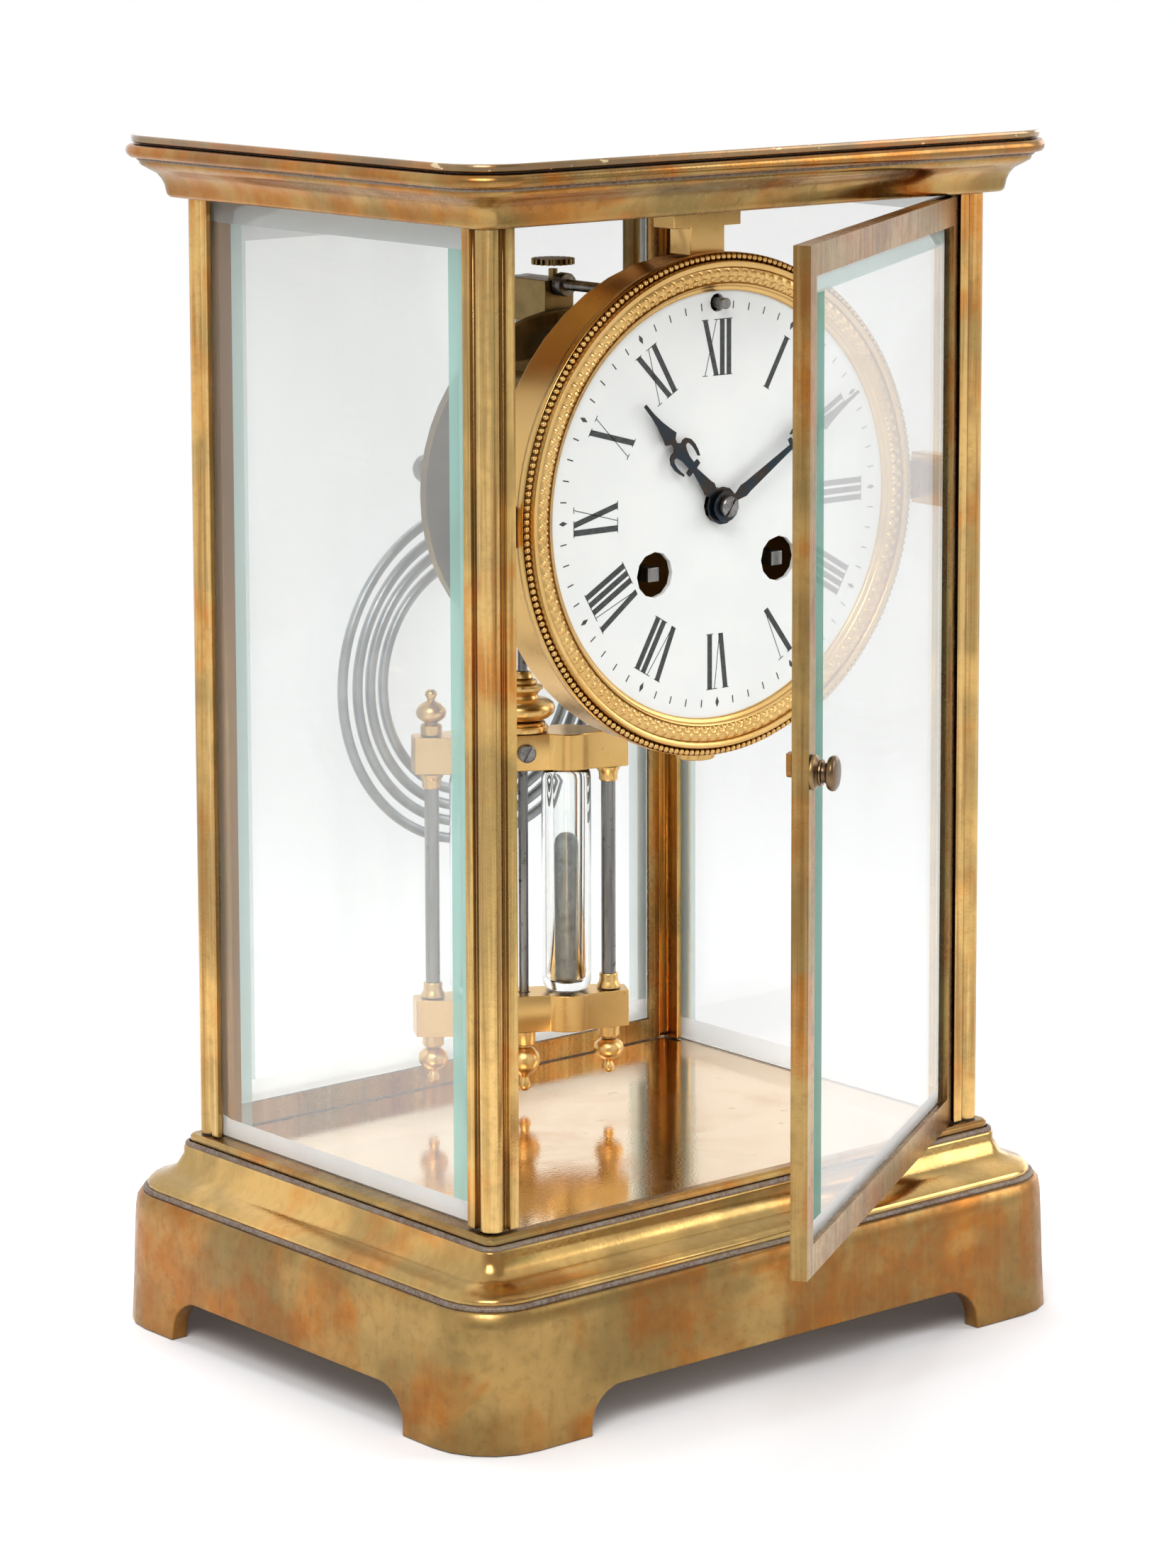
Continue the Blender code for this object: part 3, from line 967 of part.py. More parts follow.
def make_escapement(root, mats):
    escape_height = SWING_HEIGHT - ESCAPE_DROP
    axis = add_empty("escape_axis", root, (0.0, ESCAPE_WHEEL_Y, escape_height), FRONT)
    outline = []
    for tooth in range(ESCAPE_TEETH):
        angle = math.tau * tooth / ESCAPE_TEETH
        root_angle = angle + math.tau * ESCAPE_WHEEL_ROOT_SHARE / ESCAPE_TEETH
        outline.append((ESCAPE_WHEEL_RADIUS * math.cos(angle), ESCAPE_WHEEL_RADIUS * math.sin(angle)))
        inner = ESCAPE_WHEEL_RADIUS * ESCAPE_WHEEL_ROOT_SHARE
        outline.append((inner * math.cos(root_angle), inner * math.sin(root_angle)))
    wheel = flat_outline("escape_wheel", [outline], ESCAPE_WHEEL_THICKNESS, mats["dark_brass"], axis)
    back = ESCAPE_WHEEL_Y - BACK_PLATE_BACK_Y
    length = BACK_PLATE_BACK_Y - FRONT_PLATE_BACK_Y + PLATE_THICKNESS
    combine(wheel, rod("escape_arbor", ARBOR_RADIUS, length, SMALL_STEPS, None, axis, (0.0, 0.0, back)), "UNION")
    swing = add_empty("anchor_axis", root, (0.0, ESCAPE_WHEEL_Y, SWING_HEIGHT), FRONT)
    inner_span = ANCHOR_HALF_SPAN - ANCHOR_BAR
    right = [(inner_span, -ANCHOR_BAR), (inner_span, -ANCHOR_DROP), (ANCHOR_HALF_SPAN, -ANCHOR_DROP),
             (ANCHOR_HALF_SPAN, 0.0), (ANCHOR_BAR, ANCHOR_BAR)]
    outline = right + [(-x, y) for x, y in reversed(right)]
    anchor = flat_outline("anchor", [outline], ANCHOR_THICKNESS, mats["steel"], swing)
    crutch_end = ESCAPE_WHEEL_Y - CRUTCH_Y
    arbor_length = ESCAPE_WHEEL_Y - FRONT_PLATE_BACK_Y + PLATE_THICKNESS - crutch_end
    combine(anchor, rod("anchor_arbor", ARBOR_RADIUS, arbor_length, SMALL_STEPS, None, swing,
                        (0.0, 0.0, crutch_end)), "UNION")
    make_crutch(anchor, swing)


def make_crutch(anchor, swing):
    """The crutch hangs from the anchor arbor and its fork reaches back round the pendulum rod."""
    middle = ESCAPE_WHEEL_Y - CRUTCH_Y
    half = CRUTCH_WIDTH / 2
    combine(anchor, box("crutch_bar", (-half, -CRUTCH_LENGTH, middle - half), (half, CRUTCH_WIDTH, middle + half),
                        None, swing), "UNION")
    inner = ROD_RADIUS + CRUTCH_FORK_GAP
    outer = inner + CRUTCH_FORK_BAR
    bridge_back = middle - half - CRUTCH_FORK_BAR
    tine_end = ESCAPE_WHEEL_Y - PENDULUM_Y - ROD_RADIUS - CRUTCH_FORK_PAST_ROD
    outline = [(outer, middle), (outer, tine_end), (inner, tine_end), (inner, bridge_back),
               (-inner, bridge_back), (-inner, tine_end), (-outer, tine_end), (-outer, middle)]
    fork = flat_outline("crutch_fork", [outline], CRUTCH_FORK_HEIGHT, None, swing,
                        (0.0, -CRUTCH_LENGTH + CRUTCH_FORK_HEIGHT, 0.0), FRONT)
    combine(anchor, fork, "UNION")


def make_bracket(root, mats):
    """Two cheeks on a foot plate, behind the back plate, that hold the suspension spring."""
    outer = BRACKET_HALF_GAP + BRACKET_CHEEK
    front = BACK_PLATE_BACK_Y + SEAT_GAP
    bracket = box("suspension_bracket", (-outer, front, BRACKET_FOOT), (outer, BRACKET_BACK_Y, BRACKET_TOP),
                  mats["dark_brass"], root)
    gap_front = PENDULUM_Y - SPRING_BLOCK_HALF - SEAT_GAP
    combine(bracket, box("spring_slot", (-BRACKET_HALF_GAP, gap_front, BRACKET_FOOT - OVERRUN),
                         (BRACKET_HALF_GAP, BRACKET_BACK_Y + OVERRUN, BRACKET_TOP + OVERRUN), None, root))
    combine(bracket, rod("crown_stem_hole", CROWN_STEM_RADIUS + BORE_GAP, BRACKET_TOP, SMALL_STEPS, None, root,
                         (0.0, CROWN_WHEEL_Y, BRACKET_FOOT + BRACKET_PLATE_HEIGHT)))


def make_regulator(root, mats):
    axis = add_empty("regulator_axis", root, (0.0, REGULATOR_TIP_Y, REGULATOR_HEIGHT), FRONT)
    back = REGULATOR_TIP_Y - REGULATOR_BACK_Y
    pinion_top = back + REGULATOR_PINION_LENGTH
    profile = [(0.0, 0.0), (REGULATOR_ARBOR_RADIUS, 0.0), (REGULATOR_ARBOR_RADIUS, pinion_top),
               (REGULATOR_PINION_RADIUS, pinion_top), (REGULATOR_PINION_RADIUS, back), (0.0, back)]
    turned("regulator_arbor", profile, SMALL_STEPS, mats["steel"], axis)
    foot = REGULATOR_HEIGHT + REGULATOR_PINION_RADIUS + SEAT_GAP
    crown = add_empty("crown_axis", root, (0.0, CROWN_WHEEL_Y, foot))
    stem_foot = BRACKET_FOOT + BRACKET_PLATE_HEIGHT + SEAT_GAP - foot
    profile = [(0.0, CROWN_WHEEL_THICKNESS), (CROWN_WHEEL_RADIUS, CROWN_WHEEL_THICKNESS),
               (CROWN_WHEEL_RADIUS, 0.0), (CROWN_STEM_RADIUS, 0.0), (CROWN_STEM_RADIUS, stem_foot),
               (0.0, stem_foot)]
    turned("crown_wheel", profile, ROUND_STEPS, mats["dark_brass"], crown)


def make_gong(root, mats):
    """The coil as one tube along a flat spiral, with the block and arm that hold its inner end."""
    count = round(GONG_TURNS * GONG_POINTS_PER_TURN)
    curve = bpy.data.curves.new("gong_coil", "CURVE")
    curve.dimensions = "3D"
    curve.bevel_depth = GONG_ROD_RADIUS
    curve.bevel_resolution = 1
    curve.use_fill_caps = True
    spline = curve.splines.new("POLY")
    spline.points.add(count)
    places = []
    for index, point in enumerate(spline.points):
        angle = math.radians(GONG_START_DEG) + math.tau * index / GONG_POINTS_PER_TURN
        radius = GONG_OUTER_RADIUS - GONG_PITCH * index / GONG_POINTS_PER_TURN
        place = (radius * math.cos(angle), 0.0, radius * math.sin(angle))
        point.co = (*place, 1.0)
        places.append(place)
    source = bpy.data.objects.new("gong_spiral", curve)
    bpy.context.scene.collection.objects.link(source)
    mesh_from_curve("gong_coil", source, mats["gong_steel"], root, (GONG_X, GONG_Y, GONG_HEIGHT))
    least = min((Vector(a) - Vector(b)).length for i, a in enumerate(places) for b in places[i + 6:])
    print(f"gong coil: least gap between turns {(least - 2 * GONG_ROD_RADIUS) * 1000:.2f} mm")
    make_gong_stand(places, root, mats)


def make_gong_stand(places, root, mats):
    """A block at the coil's inner end and a bar below it, on an arm through the coil to the back plate."""
    radius = Vector(places[-1]).length
    turn = math.atan2(places[-1][2], places[-1][0]) + (GONG_BLOCK_LENGTH / 2 + GONG_BLOCK_GAP) / radius
    block_x = GONG_X + radius * math.cos(turn)
    block_z = GONG_HEIGHT + radius * math.sin(turn)
    half_length, half_depth, half_height = GONG_BLOCK_LENGTH / 2, GONG_BLOCK_DEPTH / 2, GONG_BLOCK_HEIGHT / 2
    stand = box("gong_stand", (-half_length, -half_depth, -half_height), (half_length, half_depth, half_height),
                mats["dark_brass"], root)
    stand.location = (block_x, GONG_Y, block_z)
    stand.rotation_euler = (0.0, math.radians(90) - turn, 0.0)
    half = GONG_BAR_DEPTH / 2
    bar_low = GONG_BAR_MIDDLE - GONG_BAR_HEIGHT / 2
    bar_high = GONG_BAR_MIDDLE + GONG_BAR_HEIGHT / 2
    combine(stand, box("gong_post", (block_x - half, GONG_Y - half, bar_low),
                       (block_x + half, GONG_Y + half, block_z), None, root), "UNION")
    combine(stand, box("gong_bar", (block_x - half, GONG_Y - half, bar_low),
                       (GONG_ARM_X + GONG_ARM_RADIUS, GONG_Y + half, bar_high), None, root), "UNION")
    arm_front = BACK_PLATE_BACK_Y + SEAT_GAP
    combine(stand, rod("gong_arm", GONG_ARM_RADIUS, GONG_Y - arm_front, SMALL_STEPS, None, root,
                       (GONG_ARM_X, GONG_Y, GONG_BAR_MIDDLE), FRONT), "UNION")


def make_hammer(root, mats):
    """A pivot through the back plate, a side arm, and a shank back to the ball over the gong."""
    axis = add_empty("hammer_axis", root, (HAMMER_PIVOT_X, HAMMER_ARM_Y, HAMMER_HEIGHT), FRONT)
    half = HAMMER_ARM_WIDTH / 2
    hammer = box("hammer", (-HAMMER_ARM_LENGTH - half, -half, -HAMMER_ARM_THICKNESS / 2),
                 (half, half, HAMMER_ARM_THICKNESS / 2), mats["steel"], axis)
    pivot_length = HAMMER_ARM_Y - BACK_PLATE_FRONT_Y + HAMMER_ARM_THICKNESS / 2
    combine(hammer, rod("hammer_pivot", HAMMER_PIVOT_RADIUS, pivot_length, SMALL_STEPS, None, axis,
                        (0.0, 0.0, -HAMMER_ARM_THICKNESS / 2)), "UNION")
    reach = GONG_Y - HAMMER_ARM_Y
    combine(hammer, rod("hammer_shank", HAMMER_SHANK_RADIUS, reach, SMALL_STEPS, None, axis,
                        (-HAMMER_ARM_LENGTH, 0.0, -reach)), "UNION")
    ball = []
    for step in range(TINY_STEPS + 1):
        angle = math.radians(180) * step / TINY_STEPS
        ball.append((HAMMER_RADIUS * math.sin(angle), HAMMER_RADIUS * math.cos(angle)))
    ball[0] = (0.0, HAMMER_RADIUS)
    ball[-1] = (0.0, -HAMMER_RADIUS)
    combine(hammer, turned("hammer_ball", ball, SMALL_STEPS, None, axis, (-HAMMER_ARM_LENGTH, 0.0, -reach)), "UNION")


# Pendulum


def bob_outline():
    """Half-round lobes round the two vials, flat ends for the side rods, a flat middle front and back."""
    half_lobe = math.acos(BOB_PLATE_HALF_DEPTH / VIAL_LOBE_RADIUS)
    right = [(BOB_PLATE_HALF_LENGTH, BOB_END_HALF_DEPTH)]
    for step in range(BOB_OUTLINE_STEPS + 1):
        angle = math.radians(90) - half_lobe + 2 * half_lobe * step / BOB_OUTLINE_STEPS
        right.append((VIAL_OFFSET + VIAL_LOBE_RADIUS * math.cos(angle), VIAL_LOBE_RADIUS * math.sin(angle)))
    upper = right + [(-x, y) for x, y in reversed(right)]
    return upper + [(x, -y) for x, y in reversed(upper)]


def make_bob_plate(name, foot, bore_centres, bob, mats):
    outlines = [bob_outline()]
    outlines += [circle_points(radius, SMALL_STEPS, (x, 0.0)) for x, radius in bore_centres]
    return flat_outline(name, outlines, BOB_PLATE_HEIGHT, mats["gilt_brass"], bob,
                        (0.0, 0.0, foot + BOB_PLATE_HEIGHT / 2))


def make_side_rod(name, side, bob, mats):
    """A steel rod between the plates with its cups, held by a finial above and below."""
    bottom, top = LOWER_PLATE_FOOT, UPPER_PLATE_TOP
    rod_top = UPPER_PLATE_FOOT - SEAT_GAP
    rod_foot = LOWER_PLATE_TOP + SEAT_GAP
    pin = SIDE_ROD_RADIUS
    upper = [(x, z + top + SEAT_GAP) for x, z in scaled_profile(FINIAL_PROFILE_SHARES, FINIAL_RADIUS,
                                                                TOP_FINIAL_HEIGHT)]
    lower = [(x, bottom - SEAT_GAP - z) for x, z in reversed(scaled_profile(FINIAL_PROFILE_SHARES, FINIAL_RADIUS,
                                                                            BOTTOM_FINIAL_HEIGHT))]
    middle = [(pin, top + SEAT_GAP), (pin, rod_top), (ROD_CUP_RADIUS, rod_top),
              (ROD_CUP_RADIUS, rod_top - ROD_CUP_HEIGHT / 3), (pin, rod_top - ROD_CUP_HEIGHT),
              (pin, rod_foot + ROD_CUP_HEIGHT), (ROD_CUP_RADIUS, rod_foot + ROD_CUP_HEIGHT / 3),
              (ROD_CUP_RADIUS, rod_foot), (pin, rod_foot), (pin, bottom - SEAT_GAP)]
    turned(name, upper + middle + lower, SMALL_STEPS, mats["steel"], bob, (side * SIDE_ROD_OFFSET, 0.0, 0.0))


def make_vial(name, side, bob, mats):
    """An open-topped glass jar, with its column of mercury standing in it."""
    x = side * VIAL_OFFSET
    profile = [(0.0, VIAL_FOOT + VIAL_FLOOR), (VIAL_BORE_RADIUS, VIAL_FOOT + VIAL_FLOOR),
               (VIAL_BORE_RADIUS, VIAL_TOP), (VIAL_RADIUS, VIAL_TOP), (VIAL_RADIUS, VIAL_FOOT), (0.0, VIAL_FOOT)]
    turned(f"{name}_vial", profile, ROUND_STEPS, mats["glass"], bob, (x, 0.0, 0.0))
    foot = VIAL_FOOT + VIAL_FLOOR + SEAT_GAP
    rod(f"{name}_mercury", VIAL_BORE_RADIUS - SEAT_GAP, MERCURY_DEPTH, SMALL_STEPS, mats["mercury"], bob,
        (x, 0.0, foot))


def make_pendulum(root, mats):
    swing = add_empty("pendulum_axis", root, (0.0, PENDULUM_Y, SWING_HEIGHT))
    bob = add_empty("bob_twist", swing, (0.0, 0.0, -SWING_HEIGHT), (0.0, 0.0, TWIST))
    rod_foot = LOWER_PLATE_FOOT - SEAT_GAP
    hook_top = SWING_HEIGHT - SEAT_GAP
    profile = [(0.0, hook_top), (HOOK_RADIUS, hook_top), (HOOK_RADIUS, hook_top - HOOK_HEIGHT),
               (ROD_RADIUS, hook_top - HOOK_HEIGHT), (ROD_RADIUS, rod_foot), (0.0, rod_foot)]
    turned("pendulum_rod", profile, SMALL_STEPS, mats["steel"], bob)
    bore = ROD_RADIUS + BORE_GAP
    knob_foot = UPPER_PLATE_TOP + SEAT_GAP
    profile = scaled_profile(BOB_KNOB_PROFILE_SHARES, BOB_KNOB_RADIUS, BOB_KNOB_HEIGHT, knob_foot)
    profile += [(bore, knob_foot), (bore, knob_foot + BOB_KNOB_HEIGHT)]
    turned("pendulum_knob", profile, ROUND_STEPS, mats["gilt_brass"], bob, ring=True)
    pin_bore = SIDE_ROD_RADIUS + BORE_GAP
    centres = [(0.0, bore), (-SIDE_ROD_OFFSET, pin_bore), (SIDE_ROD_OFFSET, pin_bore)]
    make_bob_plate("upper_plate", UPPER_PLATE_FOOT, centres, bob, mats)
    make_bob_plate("lower_plate", LOWER_PLATE_FOOT, centres, bob, mats)
    for name, side in (("left", -1), ("right", 1)):
        make_side_rod(f"{name}_side_rod", side, bob, mats)
        make_vial(name, side, bob, mats)
    finial_top = rod_foot - SEAT_GAP
    lower = [(x, finial_top - z) for x, z in reversed(scaled_profile(FINIAL_PROFILE_SHARES, CENTRE_FINIAL_RADIUS,
                                                                     CENTRE_FINIAL_HEIGHT))]
    turned("rating_finial", [(0.0, finial_top)] + lower, SMALL_STEPS, mats["gilt_brass"], bob)
    screw_y = -BOB_PLATE_HALF_DEPTH - SEAT_GAP
    rod("plate_screw", PLATE_SCREW_RADIUS, PLATE_SCREW_HEIGHT, SMALL_STEPS, mats["steel"], bob,
        (0.0, screw_y, UPPER_PLATE_FOOT + BOB_PLATE_HEIGHT / 2), FRONT)


def make_suspension(root, mats):
    """The spring with its upper block, held between the bracket's cheeks."""
    top = BRACKET_TOP
    foot = SWING_HEIGHT + SEAT_GAP
    half = SPRING_WIDTH / 2
    spring = box("suspension_spring", (-SPRING_THICKNESS / 2, PENDULUM_Y - half, foot),
                 (SPRING_THICKNESS / 2, PENDULUM_Y + half, top), mats["steel"], root)
    block = BRACKET_HALF_GAP - SEAT_GAP
    combine(spring, box("spring_block", (-block, PENDULUM_Y - SPRING_BLOCK_HALF, top - SPRING_BLOCK_HEIGHT),
                        (block, PENDULUM_Y + SPRING_BLOCK_HALF, top), None, root), "UNION")


def set_over_footprint(root):
    """Move the clock so the middle of its footprint, with the door as it stands, is at the origin."""
    bpy.context.view_layer.update()
    graph = bpy.context.evaluated_depsgraph_get()
    low = Vector((math.inf,) * 3)
    high = Vector((-math.inf,) * 3)
    for obj in bpy.data.collections[PARTS_NAME].objects:
        if obj.type != "MESH":
            continue
        shaped = obj.evaluated_get(graph)
        for vertex in shaped.data.vertices:
            place = shaped.matrix_world @ vertex.co
            low = Vector(map(min, low, place))
            high = Vector(map(max, high, place))
    root.location = (-(low.x + high.x) / 2, -(low.y + high.y) / 2, -low.z)
    bpy.context.view_layer.update()


def main():
    start_scene()
    mats = make_materials()
    root = add_empty("clock_middle", None)
    make_plinth(root, mats)
    make_mouldings(root, mats)
    make_pillars(root, mats)
    make_side_glasses(root, mats)
    make_doors(root, mats)
    make_dial(root, mats)
    make_carriers(root, mats)
    make_plates(root, mats)
    make_barrel("going", 1, GOING_WHEEL_RADIUS, root, mats)
    make_barrel("strike", -1, STRIKE_WHEEL_RADIUS, root, mats)
    make_centre(root, mats)
    make_escapement(root, mats)
    make_bracket(root, mats)
    make_regulator(root, mats)
    make_suspension(root, mats)
    make_gong(root, mats)
    make_hammer(root, mats)
    make_pendulum(root, mats)
    set_over_footprint(root)
    for obj in bpy.data.collections[PARTS_NAME].objects:
        if obj.type == "EMPTY":
            print(obj.name, [round(value, 6) for value in obj.matrix_world.translation])


main()
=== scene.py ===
import json
import math

import bmesh
import bpy
from mathutils import Matrix, Vector


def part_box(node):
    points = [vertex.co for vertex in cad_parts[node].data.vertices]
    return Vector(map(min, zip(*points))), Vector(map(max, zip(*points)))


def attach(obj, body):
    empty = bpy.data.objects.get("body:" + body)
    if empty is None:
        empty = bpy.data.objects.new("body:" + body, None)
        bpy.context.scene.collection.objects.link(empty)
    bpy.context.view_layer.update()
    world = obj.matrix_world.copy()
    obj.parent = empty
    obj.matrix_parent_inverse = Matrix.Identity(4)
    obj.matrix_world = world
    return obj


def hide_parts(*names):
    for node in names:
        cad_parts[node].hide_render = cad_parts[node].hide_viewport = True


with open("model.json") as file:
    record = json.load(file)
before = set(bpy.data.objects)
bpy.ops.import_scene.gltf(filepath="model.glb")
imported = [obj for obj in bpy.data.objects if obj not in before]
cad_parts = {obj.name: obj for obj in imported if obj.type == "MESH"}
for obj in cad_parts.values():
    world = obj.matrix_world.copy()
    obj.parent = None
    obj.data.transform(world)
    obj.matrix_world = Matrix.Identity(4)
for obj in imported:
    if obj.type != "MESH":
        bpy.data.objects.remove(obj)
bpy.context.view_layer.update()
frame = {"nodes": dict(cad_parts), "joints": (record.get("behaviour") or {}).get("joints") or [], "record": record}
NODES = frame["nodes"]
JOINTS = {joint["name"]: Vector(joint["pos_m"]) for joint in frame["joints"]}
BODIES = frame["record"]["behaviour"]["bodies"]
BODY_OF = {node: body for body, nodes in BODIES.items() for node in nodes}
SLOT_OF = {part["node"]: part["material_slot"] for part in frame["record"]["subparts"]}

# Places that several pieces share
CASE_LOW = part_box("pillar_front_left")[0]
CASE_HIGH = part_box("pillar_rear_right")[1]
CASE_MIDDLE = (CASE_LOW + CASE_HIGH) / 2
DIAL_LOW, DIAL_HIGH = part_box("enamel_dial")
DIAL_Z = (DIAL_LOW.z + DIAL_HIGH.z) / 2
DIAL_PLACE = Matrix.Translation((0.0, DIAL_LOW.y, DIAL_Z))

# The gap at which pieces that touch are drawn
SEAT = 0.0003

# Camera, fitted to the photograph
CAMERA_PLACE = (-0.67132, -0.77702, 0.33244)
CAMERA_AZIMUTH = 39.846
CAMERA_PITCH = 7.924
CAMERA_ROLL = -0.148
CAMERA_LENS = 112.64
CAMERA_SHIFT = -0.20

# Short names for the inputs of the surface shader
SURFACE_INPUTS = {
    "colour": "Base Color", "metal": "Metallic", "rough": "Roughness", "normal": "Normal",
    "through": "Transmission Weight", "ior": "IOR", "coat": "Coat Weight",
    "coat_rough": "Coat Roughness",
}


def colour(value):
    """A colour with its alpha. Anything else stays as it is."""
    return (*value, 1.0) if isinstance(value, tuple) and len(value) == 3 else value


class Graph:
    """The node tree of a material or of the world, made one node at a time."""

    def __init__(self, owner, output="ShaderNodeOutputMaterial", coordinates="Object"):
        self.owner = owner
        owner.use_nodes = True
        self.tree = owner.node_tree
        self.tree.nodes.clear()
        self.output = self.tree.nodes.new(output)
        self.place = self.add("ShaderNodeTexCoord").outputs[coordinates]

    def add(self, kind, inputs=None, **settings):
        node = self.tree.nodes.new(kind)
        for key, value in settings.items():
            setattr(node, key, value)
        for key, value in (inputs or {}).items():
            self.put(node, key, value)
        return node

    def put(self, node, key, value):
        socket = node.inputs[key]
        if isinstance(value, bpy.types.NodeSocket):
            self.tree.links.new(value, socket)
        else:
            socket.default_value = value

    def mapped(self, **change):
        """The coordinates, moved by a Location or stretched by a Scale."""
        return self.add("ShaderNodeMapping", {"Vector": self.place, **change}).outputs["Vector"]

    def noise(self, scale, detail=3.0, roughness=0.5, place=None, distortion=0.0):
        return self.add("ShaderNodeTexNoise", {
            "Vector": place or self.place, "Scale": scale, "Detail": detail,
            "Roughness": roughness, "Distortion": distortion}).outputs["Fac"]

    def cells(self, scale):
        return self.add("ShaderNodeTexVoronoi", {
            "Vector": self.place, "Scale": scale}).outputs["Distance"]

    def occlusion(self, distance, inside=False):
        return self.add("ShaderNodeAmbientOcclusion", {"Distance": distance}, samples=6,
                        inside=inside).outputs["AO"]

    def span(self, value, low, high, first=0.0, last=1.0):
        """A value that passes smoothly from first to last as another passes from low to high."""
        return self.add("ShaderNodeMapRange", {
            "Value": value, "From Min": low, "From Max": high, "To Min": first, "To Max": last},
            interpolation_type="SMOOTHSTEP").outputs["Result"]

    def calc(self, operation, first, second=0.0):
        return self.add("ShaderNodeMath", {0: first, 1: second}, operation=operation).outputs[0]

    def weighed(self, first, first_share, second, second_share):
        return self.calc("ADD", self.calc("MULTIPLY", first, first_share),
                         self.calc("MULTIPLY", second, second_share))

    def raised(self, value, spots, core):
        """The value raised around each spot: in full within a share of its reach, and not beyond it."""
        for x, y, z, reach, gain in spots:
            away = self.add("ShaderNodeVectorMath", {0: self.place, 1: (x, y, z)}, operation="DISTANCE")
            near = self.span(away.outputs["Value"], core * reach, reach, gain, 0.0)
            value = self.calc("ADD", value, near)
        return value

    def mix(self, share, first, second):
        return self.add("ShaderNodeMix", {0: share, 2: first, 3: second}).outputs[0]

    def blend(self, share, first, second):
        return self.add("ShaderNodeMix", {0: share, 6: colour(first), 7: colour(second)},
                        data_type="RGBA").outputs[2]

    def tones(self, value, low, high, first, second):
        """One colour below the low value, another above the high one."""
        return self.blend(self.span(value, low, high), first, second)

    def layer(self, under, over, value, low, high, most):
        """A colour laid over another as a value passes from low to high, by a share at most."""
        return self.blend(self.calc("MULTIPLY", self.span(value, low, high), most), under, over)

    def mix_shaders(self, share, first, second):
        return self.add("ShaderNodeMixShader", {0: share, 1: first, 2: second}).outputs[0]

    def bump(self, height, strength, distance):
        return self.add("ShaderNodeBump", {"Height": height, "Strength": strength,
                                           "Distance": distance}).outputs["Normal"]

    def surface(self, **inputs):
        shader = self.add("ShaderNodeBsdfPrincipled")
        for key, value in inputs.items():
            self.put(shader, SURFACE_INPUTS[key], colour(value))
        return shader.outputs["BSDF"]

    def finish(self, shader):
        self.tree.links.new(shader, self.output.inputs["Surface"])
        return self.owner

    def finish_surface(self, **inputs):
        return self.finish(self.surface(**inputs))


def new_finish(name):
    return Graph(bpy.data.materials.new(name))


# Tones of the old lacquered brass, before each piece's light factor, which paints light and shade by making that
# piece's brass lighter or darker
BRIGHT_GOLD = (0.50, 0.315, 0.108)
OLIVE_GOLD = (0.30, 0.20, 0.072)
COPPER_RED = (0.46, 0.165, 0.026)
COPPER_BROWN = (0.33, 0.135, 0.034)
PALE_SCRATCH = (0.56, 0.37, 0.145)
DARK_SCRATCH = (0.22, 0.105, 0.035)
DARK_SPECK = (0.19, 0.115, 0.045)
TARNISH = (0.15, 0.085, 0.04)
# Dust that the occlusion mask lays in the hollows, dark enough to be painted shade as well
JOINT_DUST_AND_SHADE = (0.15, 0.115, 0.09)

# Stains by piece: place, reach and gain, above zero for more copper and below for less
PLINTH_STAINS = (
    (-0.080, 0.085, 0.018, 0.050, 0.055), (-0.078, 0.020, 0.024, 0.022, 0.045),
    (-0.078, -0.022, 0.012, 0.012, 0.06), (-0.045, -0.063, 0.018, 0.018, -0.05),
    (-0.018, -0.066, 0.018, 0.026, 0.085), (0.02, -0.066, 0.014, 0.02, 0.05),
    (0.055, -0.066, 0.016, 0.02, 0.03), (-0.076, -0.058, 0.012, 0.026, -0.06),
)
COVE_STAINS = (
    (-0.075, 0.02, 0.249, 0.065, 0.075), (-0.012, -0.068, 0.248, 0.018, 0.09),
    (0.05, -0.068, 0.250, 0.02, 0.05),
)
TORUS_STAINS = (
    (-0.083, 0.02, 0.255, 0.06, 0.06),
)
TOP_CHIPS = (
    (-0.077, -0.048, 0.259, 0.024, 0.13), (-0.01, -0.08, 0.259, 0.022, 0.09),
    (0.055, -0.08, 0.259, 0.028, 0.09),
)

# How far inside the pillars' outer faces the floor plate's polished part ends
FLOOR_EDGE_X = 0.0048
FLOOR_EDGE_Y = 0.0012


